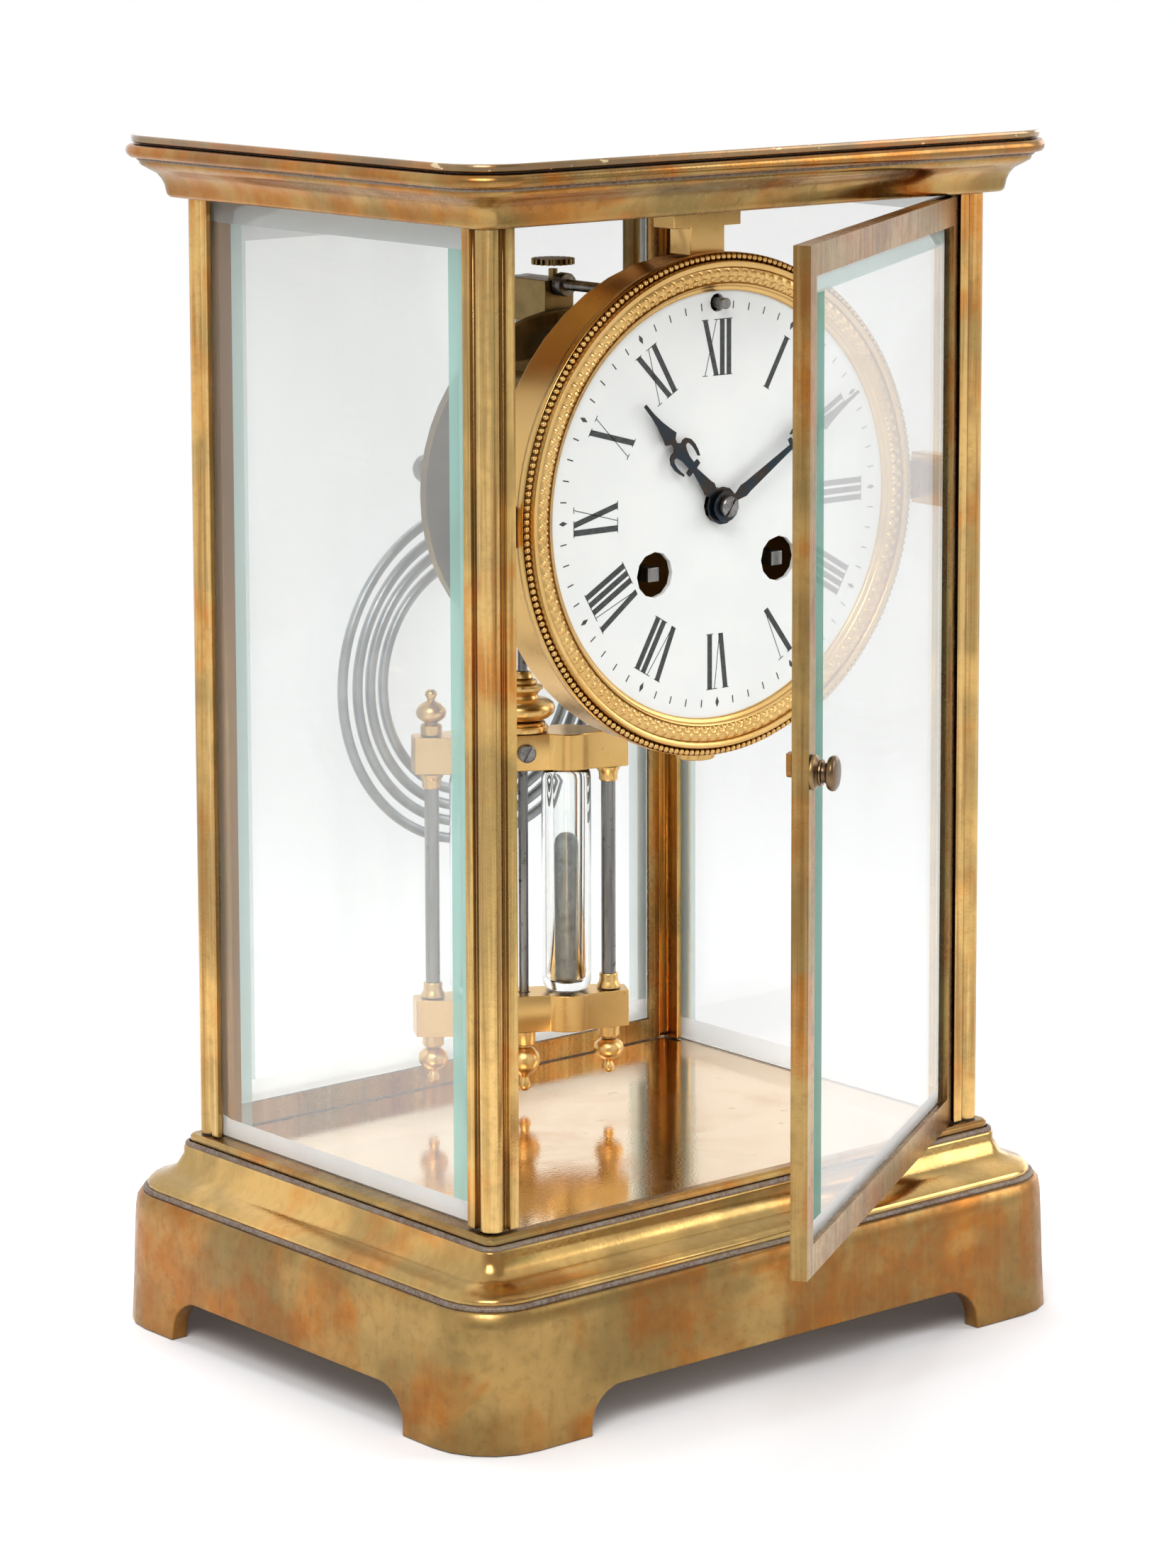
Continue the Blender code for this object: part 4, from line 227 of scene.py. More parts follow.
def toned_brass(name, copper=0.5, rough=0.34, seed=0.0, lively=1.0, dark=0.0, grain=0.25, light=1.0,
                stains=()):
    """Old lacquered brass: gold and olive, with coppery stains, and grey dust with painted shade in the hollows
    where pieces meet; the light factor paints light and shade on the whole piece.
    """
    graph = new_finish(name)
    place = graph.mapped(Location=(seed, 0.7 * seed, -seed))
    patches = graph.noise(52.0, 5.0, 0.55, place, 0.6)
    region = graph.noise(15.0, 2.0, 0.5, place)
    field = graph.raised(graph.weighed(patches, 0.62, region, 0.38), stains, 0.25)
    drift = graph.noise(38.0, 3.0, 0.55, place, 0.4)
    fine = graph.noise(420.0, 4.0, 0.65, place)
    streaks = graph.noise(1.0, 3.0, 0.6, graph.mapped(Scale=(700.0, 700.0, 14.0)))

    # Painted light and shade: the tones scaled by the piece's light factor, lighter or darker for how light falls
    # on that piece
    def lit(tone):
        return tuple(part * light for part in tone)

    gold = graph.tones(drift, 0.36, 0.62, lit(BRIGHT_GOLD), lit(OLIVE_GOLD))
    orange = graph.tones(drift, 0.38, 0.62, lit(COPPER_RED), lit(COPPER_BROWN))
    edge = 0.50 + (0.5 - copper) * 0.30
    worn = graph.span(graph.noise(150.0, 4.0, 0.65, place), 0.36, 0.58, 0.55, 1.0)
    stain = graph.calc("MULTIPLY", graph.span(field, edge - 0.075, edge + 0.085), worn)
    stained = graph.blend(graph.calc("MULTIPLY", stain, min(1.0, 0.45 + copper)), gold, orange)
    streaked = graph.layer(stained, lit(PALE_SCRATCH), streaks, 0.50, 0.66, grain)
    lined = graph.layer(streaked, lit(DARK_SCRATCH), streaks, 0.47, 0.33, grain)
    mottled = graph.layer(lined, lit(DARK_SPECK), fine, 0.45, 0.75, 0.30 * lively)
    if dark:
        mottled = graph.blend(graph.span(field, 0.58, 0.42, 0.35 * dark, dark), mottled, TARNISH)
    # Dust and painted shade: the occlusion mask darkens the brass in its hollows, under parts and where pieces
    # meet
    dusty = graph.layer(mottled, JOINT_DUST_AND_SHADE, graph.occlusion(0.0016), 0.72, 0.30, 0.80)
    gloss = graph.span(graph.weighed(fine, 0.5, drift, 0.5), 0.30, 0.70, rough * 0.72, rough * 1.3)
    height = graph.calc("ADD", graph.calc("MULTIPLY", fine, 0.35), graph.noise(1500.0, 2.0))
    return graph, dusty, gloss, graph.bump(height, 0.10, 0.0002)


def plain_brass(name, **traits):
    graph, tint, gloss, relief = toned_brass(name, **traits)
    return graph.finish_surface(colour=tint, metal=1.0, rough=gloss, normal=relief)


def top_brass():
    """The polished top face, painted pale where its faces look up, partly for the polish and partly as a painted
    reflection of the bright room above; the toned brass is on its rim.
    """
    graph, tint, gloss, relief = toned_brass("top_finish", copper=0.55, rough=0.30, seed=0.4, dark=0.6,
                                             grain=0.06)
    normal = graph.add("ShaderNodeNewGeometry").outputs["Normal"]
    upward = graph.add("ShaderNodeSeparateXYZ", {0: normal}).outputs["Z"]
    # Painted reflection: faces that look up get pale, nearly white brass for the bright room they reflect
    flat = graph.span(upward, 0.90, 0.985)
    wipes = graph.noise(24.0, 4.0, 0.6, graph.mapped(Scale=(1.0, 2.6, 1.0)))
    bright = graph.tones(wipes, 0.35, 0.7, (0.80, 0.70, 0.53), (0.73, 0.62, 0.45))
    chips = graph.noise(150.0, 4.0, 0.6, graph.mapped(Scale=(1.0, 1.0, 2.5)))
    more_chips = graph.raised(chips, TOP_CHIPS, 0.3)
    chipped = graph.layer(tint, (0.82, 0.64, 0.38), more_chips, 0.655, 0.675, 0.9)
    return graph.finish_surface(colour=graph.blend(flat, chipped, bright), metal=1.0,
                                rough=graph.mix(flat, gloss, 0.22), normal=relief,
                                coat=1.0, coat_rough=0.10)


def floor_brass():
    """Polished inside the case; its moulded rim outside is toned as the case is."""
    graph, rim, rim_gloss, relief = toned_brass("floor_finish", copper=0.45, rough=0.26, seed=1.3,
                                                grain=0.06)
    clouds = graph.noise(45.0, 4.0, 0.6, distortion=0.6)
    tint = graph.tones(clouds, 0.40, 0.70, (0.93, 0.72, 0.50), (0.86, 0.60, 0.38))
    marked = graph.layer(tint, (0.50, 0.30, 0.13), graph.noise(260.0, 3.0, 0.7), 0.66, 0.74, 0.45)
    split = graph.add("ShaderNodeSeparateXYZ", {0: graph.place}).outputs
    past_x = graph.calc("SUBTRACT", graph.calc("ABSOLUTE", split["X"]), CASE_HIGH.x - FLOOR_EDGE_X)
    from_middle = graph.calc("ABSOLUTE", graph.calc("SUBTRACT", split["Y"], CASE_MIDDLE.y))
    past_y = graph.calc("SUBTRACT", from_middle, CASE_HIGH.y - CASE_MIDDLE.y - FLOOR_EDGE_Y)
    outside = graph.span(graph.calc("MAXIMUM", past_x, past_y), 0.0, 0.0002)
    rough = graph.mix(outside, graph.span(clouds, 0.35, 0.7, 0.05, 0.13), rim_gloss)
    return graph.finish_surface(colour=graph.blend(outside, marked, rim), metal=1.0, rough=rough,
                                normal=relief)


def dusty_brass():
    graph = new_finish("dusty_bead_finish")
    dust = graph.noise(1300.0, 3.0, 0.7)
    patches = graph.noise(120.0, 4.0, 0.6)
    tint = graph.tones(patches, 0.40, 0.62, (0.15, 0.085, 0.045), (0.23, 0.155, 0.085))
    dusty = graph.blend(graph.span(dust, 0.45, 0.60, 0.15, 0.80), tint, (0.30, 0.265, 0.245))
    return graph.finish_surface(colour=dusty, metal=0.6, rough=graph.span(dust, 0.3, 0.7, 0.38, 0.6),
                                normal=graph.bump(dust, 0.2, 0.0002))


def gilt_brass():
    graph = new_finish("gilt_brass_finish")
    broad = graph.noise(60.0, 3.0)
    tint = graph.tones(broad, 0.3, 0.7, (0.71, 0.43, 0.145), (0.79, 0.51, 0.20))
    spotted = graph.layer(tint, (0.36, 0.19, 0.06), graph.noise(700.0, 2.0), 0.70, 0.78, 0.5)
    # Painted shade: the occlusion mask darkens the gilding to brown in its hollows and between parts
    hollow_shade = graph.layer(spotted, (0.13, 0.055, 0.015), graph.occlusion(0.0012), 0.75, 0.25, 0.8)
    return graph.finish_surface(colour=hollow_shade, metal=1.0, rough=graph.span(broad, 0.3, 0.7, 0.24, 0.34),
                                normal=graph.bump(graph.noise(5200.0, 2.0, 0.6), 0.10, 0.0001))


def dark_brass():
    graph = new_finish("dark_brass_finish")
    clouds = graph.noise(110.0, 4.0, 0.6)
    tint = graph.tones(clouds, 0.35, 0.7, (0.21, 0.145, 0.06), (0.36, 0.25, 0.10))
    # Painted shade: the occlusion mask darkens the brass nearly to black in its hollows and between parts
    hollow_shade = graph.layer(tint, (0.03, 0.02, 0.012), graph.occlusion(0.0015), 0.8, 0.3, 0.85)
    return graph.finish_surface(colour=hollow_shade, metal=1.0, rough=graph.span(clouds, 0.3, 0.7, 0.30, 0.46),
                                normal=graph.bump(graph.noise(1400.0, 3.0), 0.12, 0.0001))


def bronze():
    graph = new_finish("bronze_finish")
    clouds = graph.noise(300.0, 3.0)
    tint = graph.tones(clouds, 0.35, 0.7, (0.13, 0.085, 0.05), (0.21, 0.13, 0.07))
    edges = graph.occlusion(0.0008, inside=True)
    rubbed = graph.layer(tint, (0.45, 0.29, 0.12), edges, 0.90, 0.55, 0.6)
    return graph.finish_surface(colour=rubbed, metal=1.0, rough=graph.span(clouds, 0.3, 0.7, 0.25, 0.4))


def steel():
    graph = new_finish("steel_finish")
    drawn = graph.noise(500.0, 3.0, 0.6, graph.mapped(Scale=(1.0, 1.0, 0.06)))
    pits = graph.span(graph.noise(620.0, 3.0, 0.7), 0.60, 0.70)
    tint = graph.tones(drawn, 0.3, 0.7, (0.16, 0.155, 0.15), (0.31, 0.30, 0.29))
    pitted = graph.blend(graph.calc("MULTIPLY", pits, 0.75), tint, (0.07, 0.06, 0.055))
    return graph.finish_surface(colour=pitted, metal=1.0, rough=graph.span(pits, 0.0, 1.0, 0.32, 0.6),
                                normal=graph.bump(drawn, 0.10, 0.0001))


def blued_steel():
    graph = new_finish("blued_steel_finish")
    drift = graph.noise(190.0, 3.0)
    rust = graph.span(graph.noise(480.0, 4.0, 0.7), 0.54, 0.68)
    tint = graph.tones(drift, 0.38, 0.64, (0.030, 0.045, 0.060), (0.055, 0.042, 0.035))
    aged = graph.blend(graph.calc("MULTIPLY", rust, 0.5), tint, (0.10, 0.065, 0.045))
    return graph.finish_surface(colour=aged, metal=0.9, rough=graph.span(rust, 0.0, 1.0, 0.28, 0.5),
                                normal=graph.bump(drift, 0.05, 0.0001))


def gong_steel():
    graph = new_finish("gong_steel_finish")
    specks = graph.span(graph.noise(1100.0, 3.0, 0.7), 0.58, 0.68)
    tint = graph.tones(graph.noise(120.0, 3.0), 0.35, 0.65, (0.22, 0.245, 0.265), (0.36, 0.385, 0.405))
    dusty = graph.blend(graph.calc("MULTIPLY", specks, 0.55), tint, (0.30, 0.30, 0.28))
    return graph.finish_surface(colour=dusty, metal=0.7, rough=graph.span(specks, 0.0, 1.0, 0.38, 0.6))


def enamel():
    graph = new_finish("enamel_finish")
    ripple = graph.noise(90.0, 2.0)
    specks = graph.span(graph.cells(260.0), 0.020, 0.012)
    rare = graph.span(graph.noise(60.0, 1.0), 0.56, 0.60)
    tint = graph.tones(ripple, 0.3, 0.7, (0.83, 0.84, 0.83), (0.86, 0.865, 0.85))
    spotted = graph.blend(graph.calc("MULTIPLY", specks, rare), tint, (0.15, 0.12, 0.09))
    return graph.finish_surface(colour=spotted, metal=0.0,
                                rough=graph.span(ripple, 0.3, 0.7, 0.10, 0.16),
                                normal=graph.bump(ripple, 0.02, 0.0005))


def dial_paint():
    graph = new_finish("dial_paint_finish")
    tint = graph.tones(graph.noise(900.0, 3.0), 0.3, 0.8, (0.025, 0.026, 0.027), (0.060, 0.062, 0.062))
    return graph.finish_surface(colour=tint, metal=0.0, rough=0.35)


def mercury():
    graph = new_finish("mercury_finish")
    clouds = graph.noise(160.0, 4.0, 0.65, graph.mapped(Scale=(1.0, 1.0, 0.5)))
    tint = graph.tones(clouds, 0.35, 0.7, (0.20, 0.205, 0.20), (0.36, 0.365, 0.36))
    filmed = graph.layer(tint, (0.10, 0.105, 0.10), graph.noise(420.0, 4.0, 0.7), 0.45, 0.7, 0.5)
    return graph.finish_surface(colour=filmed, metal=0.6, rough=graph.span(clouds, 0.3, 0.7, 0.30, 0.5))


def glass(name, tint, haze=0.0, haze_colour=(1.0, 1.0, 1.0)):
    """Clear glass with a share of matt haze on it, whose colour is partly a film of dust and partly a painted
    reflection. Light for shadows passes straight through.
    """
    graph = new_finish(name)
    smears = graph.noise(55.0, 3.0, 0.6, graph.mapped(Scale=(1.0, 1.0, 0.4)))
    clear = graph.tones(smears, 0.3, 0.7, tint, tuple(0.985 * part for part in tint))
    shader = graph.surface(colour=clear, rough=graph.span(smears, 0.55, 0.8, 0.0, 0.03), through=1.0,
                           ior=1.5)
    if haze:
        film = graph.tones(smears, 0.3, 0.7, haze_colour, tuple(0.95 * part for part in haze_colour))
        front = graph.add("ShaderNodeBsdfDiffuse", {"Color": film}).outputs[0]
        back = graph.add("ShaderNodeBsdfTranslucent", {"Color": film}).outputs[0]
        shader = graph.mix_shaders(haze, shader, graph.mix_shaders(0.35, front, back))
    passing = graph.add("ShaderNodeBsdfTransparent", {"Color": colour(tint)}).outputs[0]
    shadow = graph.add("ShaderNodeLightPath").outputs["Is Shadow Ray"]
    return graph.finish(graph.mix_shaders(shadow, shader, passing))


MATERIALS = {
    "toned_brass": plain_brass("toned_brass_finish"),
    "gilt_brass": gilt_brass(),
    "floor_brass": floor_brass(),
    "dark_brass": dark_brass(),
    "bronze": bronze(),
    "steel": steel(),
    "blued_steel": blued_steel(),
    "gong_steel": gong_steel(),
    "enamel": enamel(),
    "mercury": mercury(),
    "glass": glass("glass_finish", (0.965, 0.985, 0.98)),
}
# The panes' haze: a film of dust that is also a painted reflection, a pale veil for the bright room the glass
# reflects
SIDE_PANE = glass("side_pane_finish", (0.97, 0.985, 0.98), 0.12)
DOOR_PANE = glass("door_pane_finish", (0.97, 0.985, 0.98), 0.14)
# The edge strips: teal and green are the glass's own green seen edge-on; pale, grey and white are painted
# reflections of the bright room and floor in the bevels; cream and sand are painted images of the brass seen
# through the bevels
TEAL_EDGE = glass("teal_edge_finish", (0.80, 0.94, 0.91), 0.88, (0.52, 0.82, 0.74))
PALE_EDGE = glass("pale_edge_tint_and_reflection", (0.90, 0.96, 0.95), 0.60, (0.60, 0.74, 0.71))
GREY_EDGE = glass("grey_edge_painted_reflection", (0.90, 0.94, 0.93), 0.62, (0.62, 0.66, 0.65))
WHITE_EDGE = glass("white_edge_painted_reflection", (0.96, 0.98, 0.98), 0.92)
CREAM_EDGE = glass("cream_edge_painted_brass_image", (0.90, 0.87, 0.82), 0.60, (0.47, 0.36, 0.27))
SAND_EDGE = glass("sand_edge_painted_brass_image", (0.90, 0.88, 0.84), 0.80, (0.52, 0.46, 0.38))
GREEN_EDGE = glass("green_edge_finish", (0.75, 0.90, 0.86), 0.86, (0.20, 0.42, 0.34))
PAINT = dial_paint()
DUSTY = dusty_brass()
# The light factors here and below are painted light and shade: brighter brass for the pillars and moulding, darker
# for the doors and plinth
PILLAR_BRASS = plain_brass("pillar_finish", copper=0.40, rough=0.22, seed=5.5, grain=0.65, light=1.5)
DOOR_BRASS = plain_brass("door_finish", copper=0.50, rough=0.26, seed=6.1, grain=0.5, light=0.86)
SPECIAL = {
    "base_plinth": plain_brass("plinth_finish", copper=0.50, rough=0.36, grain=0.06, light=0.90,
                               stains=PLINTH_STAINS),
    "base_moulding": plain_brass("moulding_finish", copper=0.30, rough=0.19, seed=2.1, lively=0.5,
                                 light=1.42, grain=0.1),
    "cornice_cove": plain_brass("cove_finish", copper=0.46, rough=0.25, seed=3.4, lively=0.8,
                                grain=0.06, stains=COVE_STAINS),
    "cornice_torus": plain_brass("torus_finish", copper=0.56, rough=0.25, seed=4.2, dark=0.25,
                                 grain=0.06, stains=TORUS_STAINS),
    "top_plate": top_brass(),
}

# Turning a solid into a piece: how near points are joined, and which angles count as flat and as worn
JOIN_DISTANCE = 0.000002
FLAT_ANGLE = 0.4
WORN_ANGLE = 34


def finish_of(node):
    if node.startswith("pillar"):
        return PILLAR_BRASS
    if node.endswith("door_frame"):
        return DOOR_BRASS
    return SPECIAL.get(node, MATERIALS[SLOT_OF[node]])


def ease_edges(piece, width):
    """Round off the piece's sharp edges, as wear does."""
    rounding = piece.modifiers.new("worn_edges", "BEVEL")
    rounding.width = width
    rounding.segments = 2
    rounding.limit_method = "ANGLE"
    rounding.angle_limit = math.radians(WORN_ANGLE)


def add_piece(name, mesh, body, slot, replaced=(), matrix=None, material=None, angle=32.0, easing=0.0):
    """A finished mesh as a piece on a body. Edges sharper than the angle are shaded sharp."""
    for polygon in mesh.polygons:
        polygon.use_smooth = True
    mesh.set_sharp_from_angle(angle=math.radians(angle))
    mesh.materials.append(material or MATERIALS[slot])
    piece = bpy.data.objects.new(name, mesh)
    bpy.context.scene.collection.objects.link(piece)
    if matrix is not None:
        piece.matrix_world = matrix
    if easing:
        ease_edges(piece, easing)
    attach(piece, body)
    if replaced:
        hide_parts(*replaced)
    return piece


def dress(node, easing=0.0, angle=32.0):
    """The node's own shape with its faces joined, its curves shaded round and its edges eased."""
    bm = bmesh.new()
    bm.from_mesh(NODES[node].data)
    bmesh.ops.remove_doubles(bm, verts=bm.verts, dist=JOIN_DISTANCE)
    bmesh.ops.dissolve_limit(bm, angle_limit=math.radians(FLAT_ANGLE), verts=bm.verts, edges=bm.edges)
    mesh = bpy.data.meshes.new(node + "_dressed")
    bm.to_mesh(mesh)
    bm.free()
    mesh.materials.clear()
    return add_piece(node + "_dressed", mesh, BODY_OF[node], SLOT_OF[node], (node,),
                     material=finish_of(node), angle=angle, easing=easing)


def mesh_from(name, bm):
    bmesh.ops.recalc_face_normals(bm, faces=bm.faces)
    mesh = bpy.data.meshes.new(name)
    bm.to_mesh(mesh)
    bm.free()
    return mesh


def bridge(bm, rings):
    """Faces between each closed ring of vertices and the next."""
    for first, second in zip(rings, rings[1:]):
        for i in range(len(first)):
            j = (i + 1) % len(first)
            bm.faces.new((first[i], first[j], second[j], second[i]))


def lathe_into(bm, profile, steps):
    """Turn a profile of (radius, height) about Z. A radius of zero closes it with a point."""
    rings = []
    for radius, height in profile:
        count = 1 if radius < JOIN_DISTANCE else steps
        rings.append([bm.verts.new((radius * math.cos(math.tau * i / steps),
                                    radius * math.sin(math.tau * i / steps), height))
                      for i in range(count)])
    for low, high in zip(rings, rings[1:]):
        for i in range(steps):
            j = (i + 1) % steps
            corners = [low[i % len(low)], low[j % len(low)], high[j % len(high)], high[i % len(high)]]
            corners = list(dict.fromkeys(corners))
            if len(corners) > 2:
                bm.faces.new(corners)


def lathe(name, profile, steps=48):
    bm = bmesh.new()
    lathe_into(bm, profile, steps)
    return mesh_from(name, bm)


def prism_into(bm, outline, low, high):
    """An outline in X and Z made solid between two depths along Y."""
    front = [bm.verts.new((x, low, z)) for x, z in outline]
    back = [bm.verts.new((x, high, z)) for x, z in outline]
    bm.faces.new(front)
    bm.faces.new(back)
    bridge(bm, (front, back))


def scaled(shares, radius, height, foot=0.0):
    return [(radius * across, foot + height * up) for across, up in shares]


def facing(place, yaw=0.0, spin=0.0):
    """A place whose local Z faces the front: yaw turns it about the upright, spin about itself."""
    return (Matrix.Translation(place) @ Matrix.Rotation(math.radians(yaw), 4, "Z")
            @ Matrix.Rotation(math.radians(90), 4, "X") @ Matrix.Rotation(math.radians(spin), 4, "Z"))


# The solids that keep their own shape, each group with the width of its eased edges
DRESSED = (
    (0.0003, ("base_plinth", "base_moulding", "cornice_cove", "cornice_torus", "top_plate",
              "floor_plate")),
    (0.00012, ("pillar_front_left", "pillar_front_right", "pillar_rear_left", "pillar_rear_right")),
    (0.0003, ("front_door_frame", "rear_door_frame")),
    (0.0002, ("front_door_catch", "rear_door_catch", "t_block", "left_arm", "right_arm", "hanger_post",
              "dial_pan", "bezel_nut", "front_plate", "back_plate", "suspension_bracket",
              "suspension_spring", "gong_stand", "going_barrel", "going_winding_arbor", "strike_barrel",
              "strike_winding_arbor", "centre_wheel", "escape_wheel", "anchor", "regulator_arbor",
              "hammer", "enamel_dial")),
)
HAND_EASING = 0.00006
HAND_ANGLE = 25.0


def dress_solids():
    for easing, nodes in DRESSED:
        for node in nodes:
            dress(node, easing)
    for node in ("hour_hand", "minute_hand"):
        dress(node, HAND_EASING, HAND_ANGLE)


dress_solids()

# The dusty fillets between the castings
CORNER_STEPS = 14
CORNER_RADIUS = 0.0006
FILLET_STEPS = 8
FILLET_HALF_ARC = 110


def rounded_outline(reach):
    """The case's outline with rounded corners, outside the pillars' faces: place and way out."""
    half_x, half_y = CASE_HIGH.x + reach, CASE_HIGH.y - CASE_MIDDLE.y + reach
    radius = reach + CORNER_RADIUS
    points = []
    for corner, (sx, sy) in enumerate(((1, 1), (-1, 1), (-1, -1), (1, -1))):
        for step in range(CORNER_STEPS + 1):
            angle = math.radians(90) * (corner + step / CORNER_STEPS)
            points.append((sx * (half_x - radius) + radius * math.cos(angle),
                           CASE_MIDDLE.y + sy * (half_y - radius) + radius * math.sin(angle),
                           math.cos(angle), math.sin(angle)))
    return points


def joint_bead(name, reach, height, radius):
    """A half-round fillet that runs round the case where two castings meet."""
    bm = bmesh.new()
    outline = rounded_outline(reach)
    rings = []
    for step in range(FILLET_STEPS + 1):
        angle = math.radians(-FILLET_HALF_ARC + 2 * FILLET_HALF_ARC * step / FILLET_STEPS)
        rings.append([bm.verts.new((x + radius * math.cos(angle) * out_x,
                                    y + radius * math.cos(angle) * out_y,
                                    height + radius * math.sin(angle)))
                      for x, y, out_x, out_y in outline])
    bridge(bm, rings)
    add_piece(name, mesh_from(name, bm), "case", "toned_brass", material=DUSTY, angle=60.0)


def make_joint_beads():
    plinth, moulding, cove, torus, top = (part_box(node)[1] for node in (
        "base_plinth", "base_moulding", "cornice_cove", "cornice_torus", "top_plate"))
    joint_bead("plinth_bead", reach=0.01135, height=plinth.z + 0.0003, radius=0.00075)
    joint_bead("moulding_bead", reach=0.00215, height=moulding.z + 0.00015, radius=0.00068)
    joint_bead("cornice_bead", reach=0.0098, height=cove.z + 0.00005, radius=0.00040)
    joint_bead("top_bead", reach=top.x - CASE_HIGH.x - 0.0021, height=torus.z + 0.00010, radius=0.00038)


make_joint_beads()

# The glasses. A strip of painted colour for what a bevel shows runs between two distances from an edge of the pane
BEVEL = 0.0046
CUT_TOLERANCE = 1e-6
OUTER_FACE = 0.3
BACKWARD = (0.0, 1.0, 0.0)
RIGHTWARD = (1.0, 0.0, 0.0)
DOOR_ALONG = (0.8434, 0.5373, 0.0)
DOOR_OUTWARD = (0.5373, -0.8434, 0.0)
HEAD_AND_FOOT = (("top", 0.0, BEVEL, GREY_EDGE), ("foot", 0.0, BEVEL, WHITE_EDGE))
PALE_SIDES = (("first", 0.0, BEVEL, PALE_EDGE), ("last", 0.0, BEVEL, PALE_EDGE))


def pane(node, glass_finish, along, outward, strips):
    """A pane with strips of colour on its outer face along its ground edges: the glass's own green, painted
    reflections and painted images of the brass behind.
    """
    mesh = dress(node, 0.0, 5.0).data
    mesh.materials[0] = glass_finish
    along, outward, upward = Vector(along), Vector(outward), Vector((0.0, 0.0, 1.0))
    across = [vertex.co.dot(along) for vertex in mesh.vertices]
    heights = [vertex.co.z for vertex in mesh.vertices]
    edges = {"first": (along, min(across), 1.0), "last": (along, max(across), -1.0),
             "foot": (upward, min(heights), 1.0), "top": (upward, max(heights), -1.0)}
    bm = bmesh.new()
    bm.from_mesh(mesh)
    for edge, start, end, finish in strips:
        direction, origin, sign = edges[edge]
        for reach in (start, end):
            bmesh.ops.bisect_plane(bm, geom=bm.verts[:] + bm.edges[:] + bm.faces[:], dist=CUT_TOLERANCE,
                                   plane_co=direction * (origin + sign * reach), plane_no=direction)
        if finish.name not in mesh.materials:
            mesh.materials.append(finish)
    for face in bm.faces:
        centre = face.calc_center_median()
        for edge, start, end, finish in strips:
            direction, origin, sign = edges[edge]
            reach = sign * (centre.dot(direction) - origin)
            if start < reach < end and face.normal.dot(outward) > OUTER_FACE:
                face.material_index = mesh.materials.find(finish.name)
                break
    bm.to_mesh(mesh)
    bm.free()


pane("left_glass", SIDE_PANE, BACKWARD, (-1.0, 0.0, 0.0), HEAD_AND_FOOT + (
    ("first", 0.0, 0.0078, TEAL_EDGE), ("last", 0.0, 0.0086, CREAM_EDGE),
    ("last", 0.0086, 0.0125, PALE_EDGE)))
pane("right_glass", SIDE_PANE, BACKWARD, RIGHTWARD, HEAD_AND_FOOT + PALE_SIDES)
pane("front_door_glass", DOOR_PANE, DOOR_ALONG, DOOR_OUTWARD, (
    ("top", 0.0, 0.0024, GREY_EDGE), ("top", 0.0024, 0.0050, PALE_EDGE),
    ("foot", 0.0, BEVEL, WHITE_EDGE), ("first", 0.0, 0.0062, SAND_EDGE),
    ("first", 0.0062, 0.0118, GREEN_EDGE), ("last", 0.0, BEVEL, PALE_EDGE)))
pane("rear_door_glass", DOOR_PANE, RIGHTWARD, BACKWARD, HEAD_AND_FOOT + PALE_SIDES)

# The dial's figures
PAINT_DEPTH = 0.00004
NUMERALS = ("XII", "I", "II", "III", "IIII", "V", "VI", "VII", "VIII", "IX", "X", "XI")
NUMERAL_FOOT = 0.0273
NUMERAL_HEIGHT = 0.0117
ADVANCE = {"I": 0.00185, "V": 0.0042, "X": 0.0045}
THICK = 0.00125
THIN = 0.00016
SERIF = 0.00095
# Each letter's bars: place at the foot, place at the top and width
BARS = {
    "I": ((0.0, 0.0, THICK),),
    "V": ((0.0, -0.00135, THICK), (0.0003, 0.0017, THIN)),
    "X": ((0.00155, -0.00155, THICK), (-0.0016, 0.0016, THIN)),
}
# Each letter's serifs: place, 1 for the top or 0 for the foot, and share of the full length
SERIFS = {
    "I": ((0.0, 1, 1.0), (0.0, 0, 1.0)),
    "V": ((-0.00135, 1, 1.0), (0.0017, 1, 0.8)),
    "X": ((0.00155, 0, 1.0), (-0.00155, 1, 1.0), (-0.0016, 0, 0.7), (0.0016, 1, 0.7)),
}
# The marks' corners, measured across and outwards from the dial's centre
MINUTE_MARK = ((-0.00013, 0.0412), (0.00013, 0.0412), (0.00013, 0.0428), (-0.00013, 0.0428))
FIFTH_MARK = ((0.0, 0.04075), (0.0005, 0.0419), (0.0, 0.0430), (-0.0005, 0.0419))


def stroke(x0, z0, x1, z1, half):
    """A bar from one place to another, with level ends."""
    return [(x0 - half, z0), (x0 + half, z0), (x1 + half, z1), (x1 - half, z1)]


def letter_outlines(letter, x):
    strokes = [stroke(x + foot, 0.0, x + top, NUMERAL_HEIGHT, width / 2)
               for foot, top, width in BARS[letter]]
    for place, level, share in SERIFS[letter]:
        z = NUMERAL_HEIGHT * level
        strokes.append(stroke(x + place, z - THIN / 2, x + place, z + THIN / 2, SERIF * share))
    return strokes


def on_dial(points, angle):
    """Points measured across and outwards, turned to a clock angle on the dial."""
    sine, cosine = math.sin(angle), math.cos(angle)
    return [(x * cosine + r * sine, r * cosine - x * sine) for x, r in points]


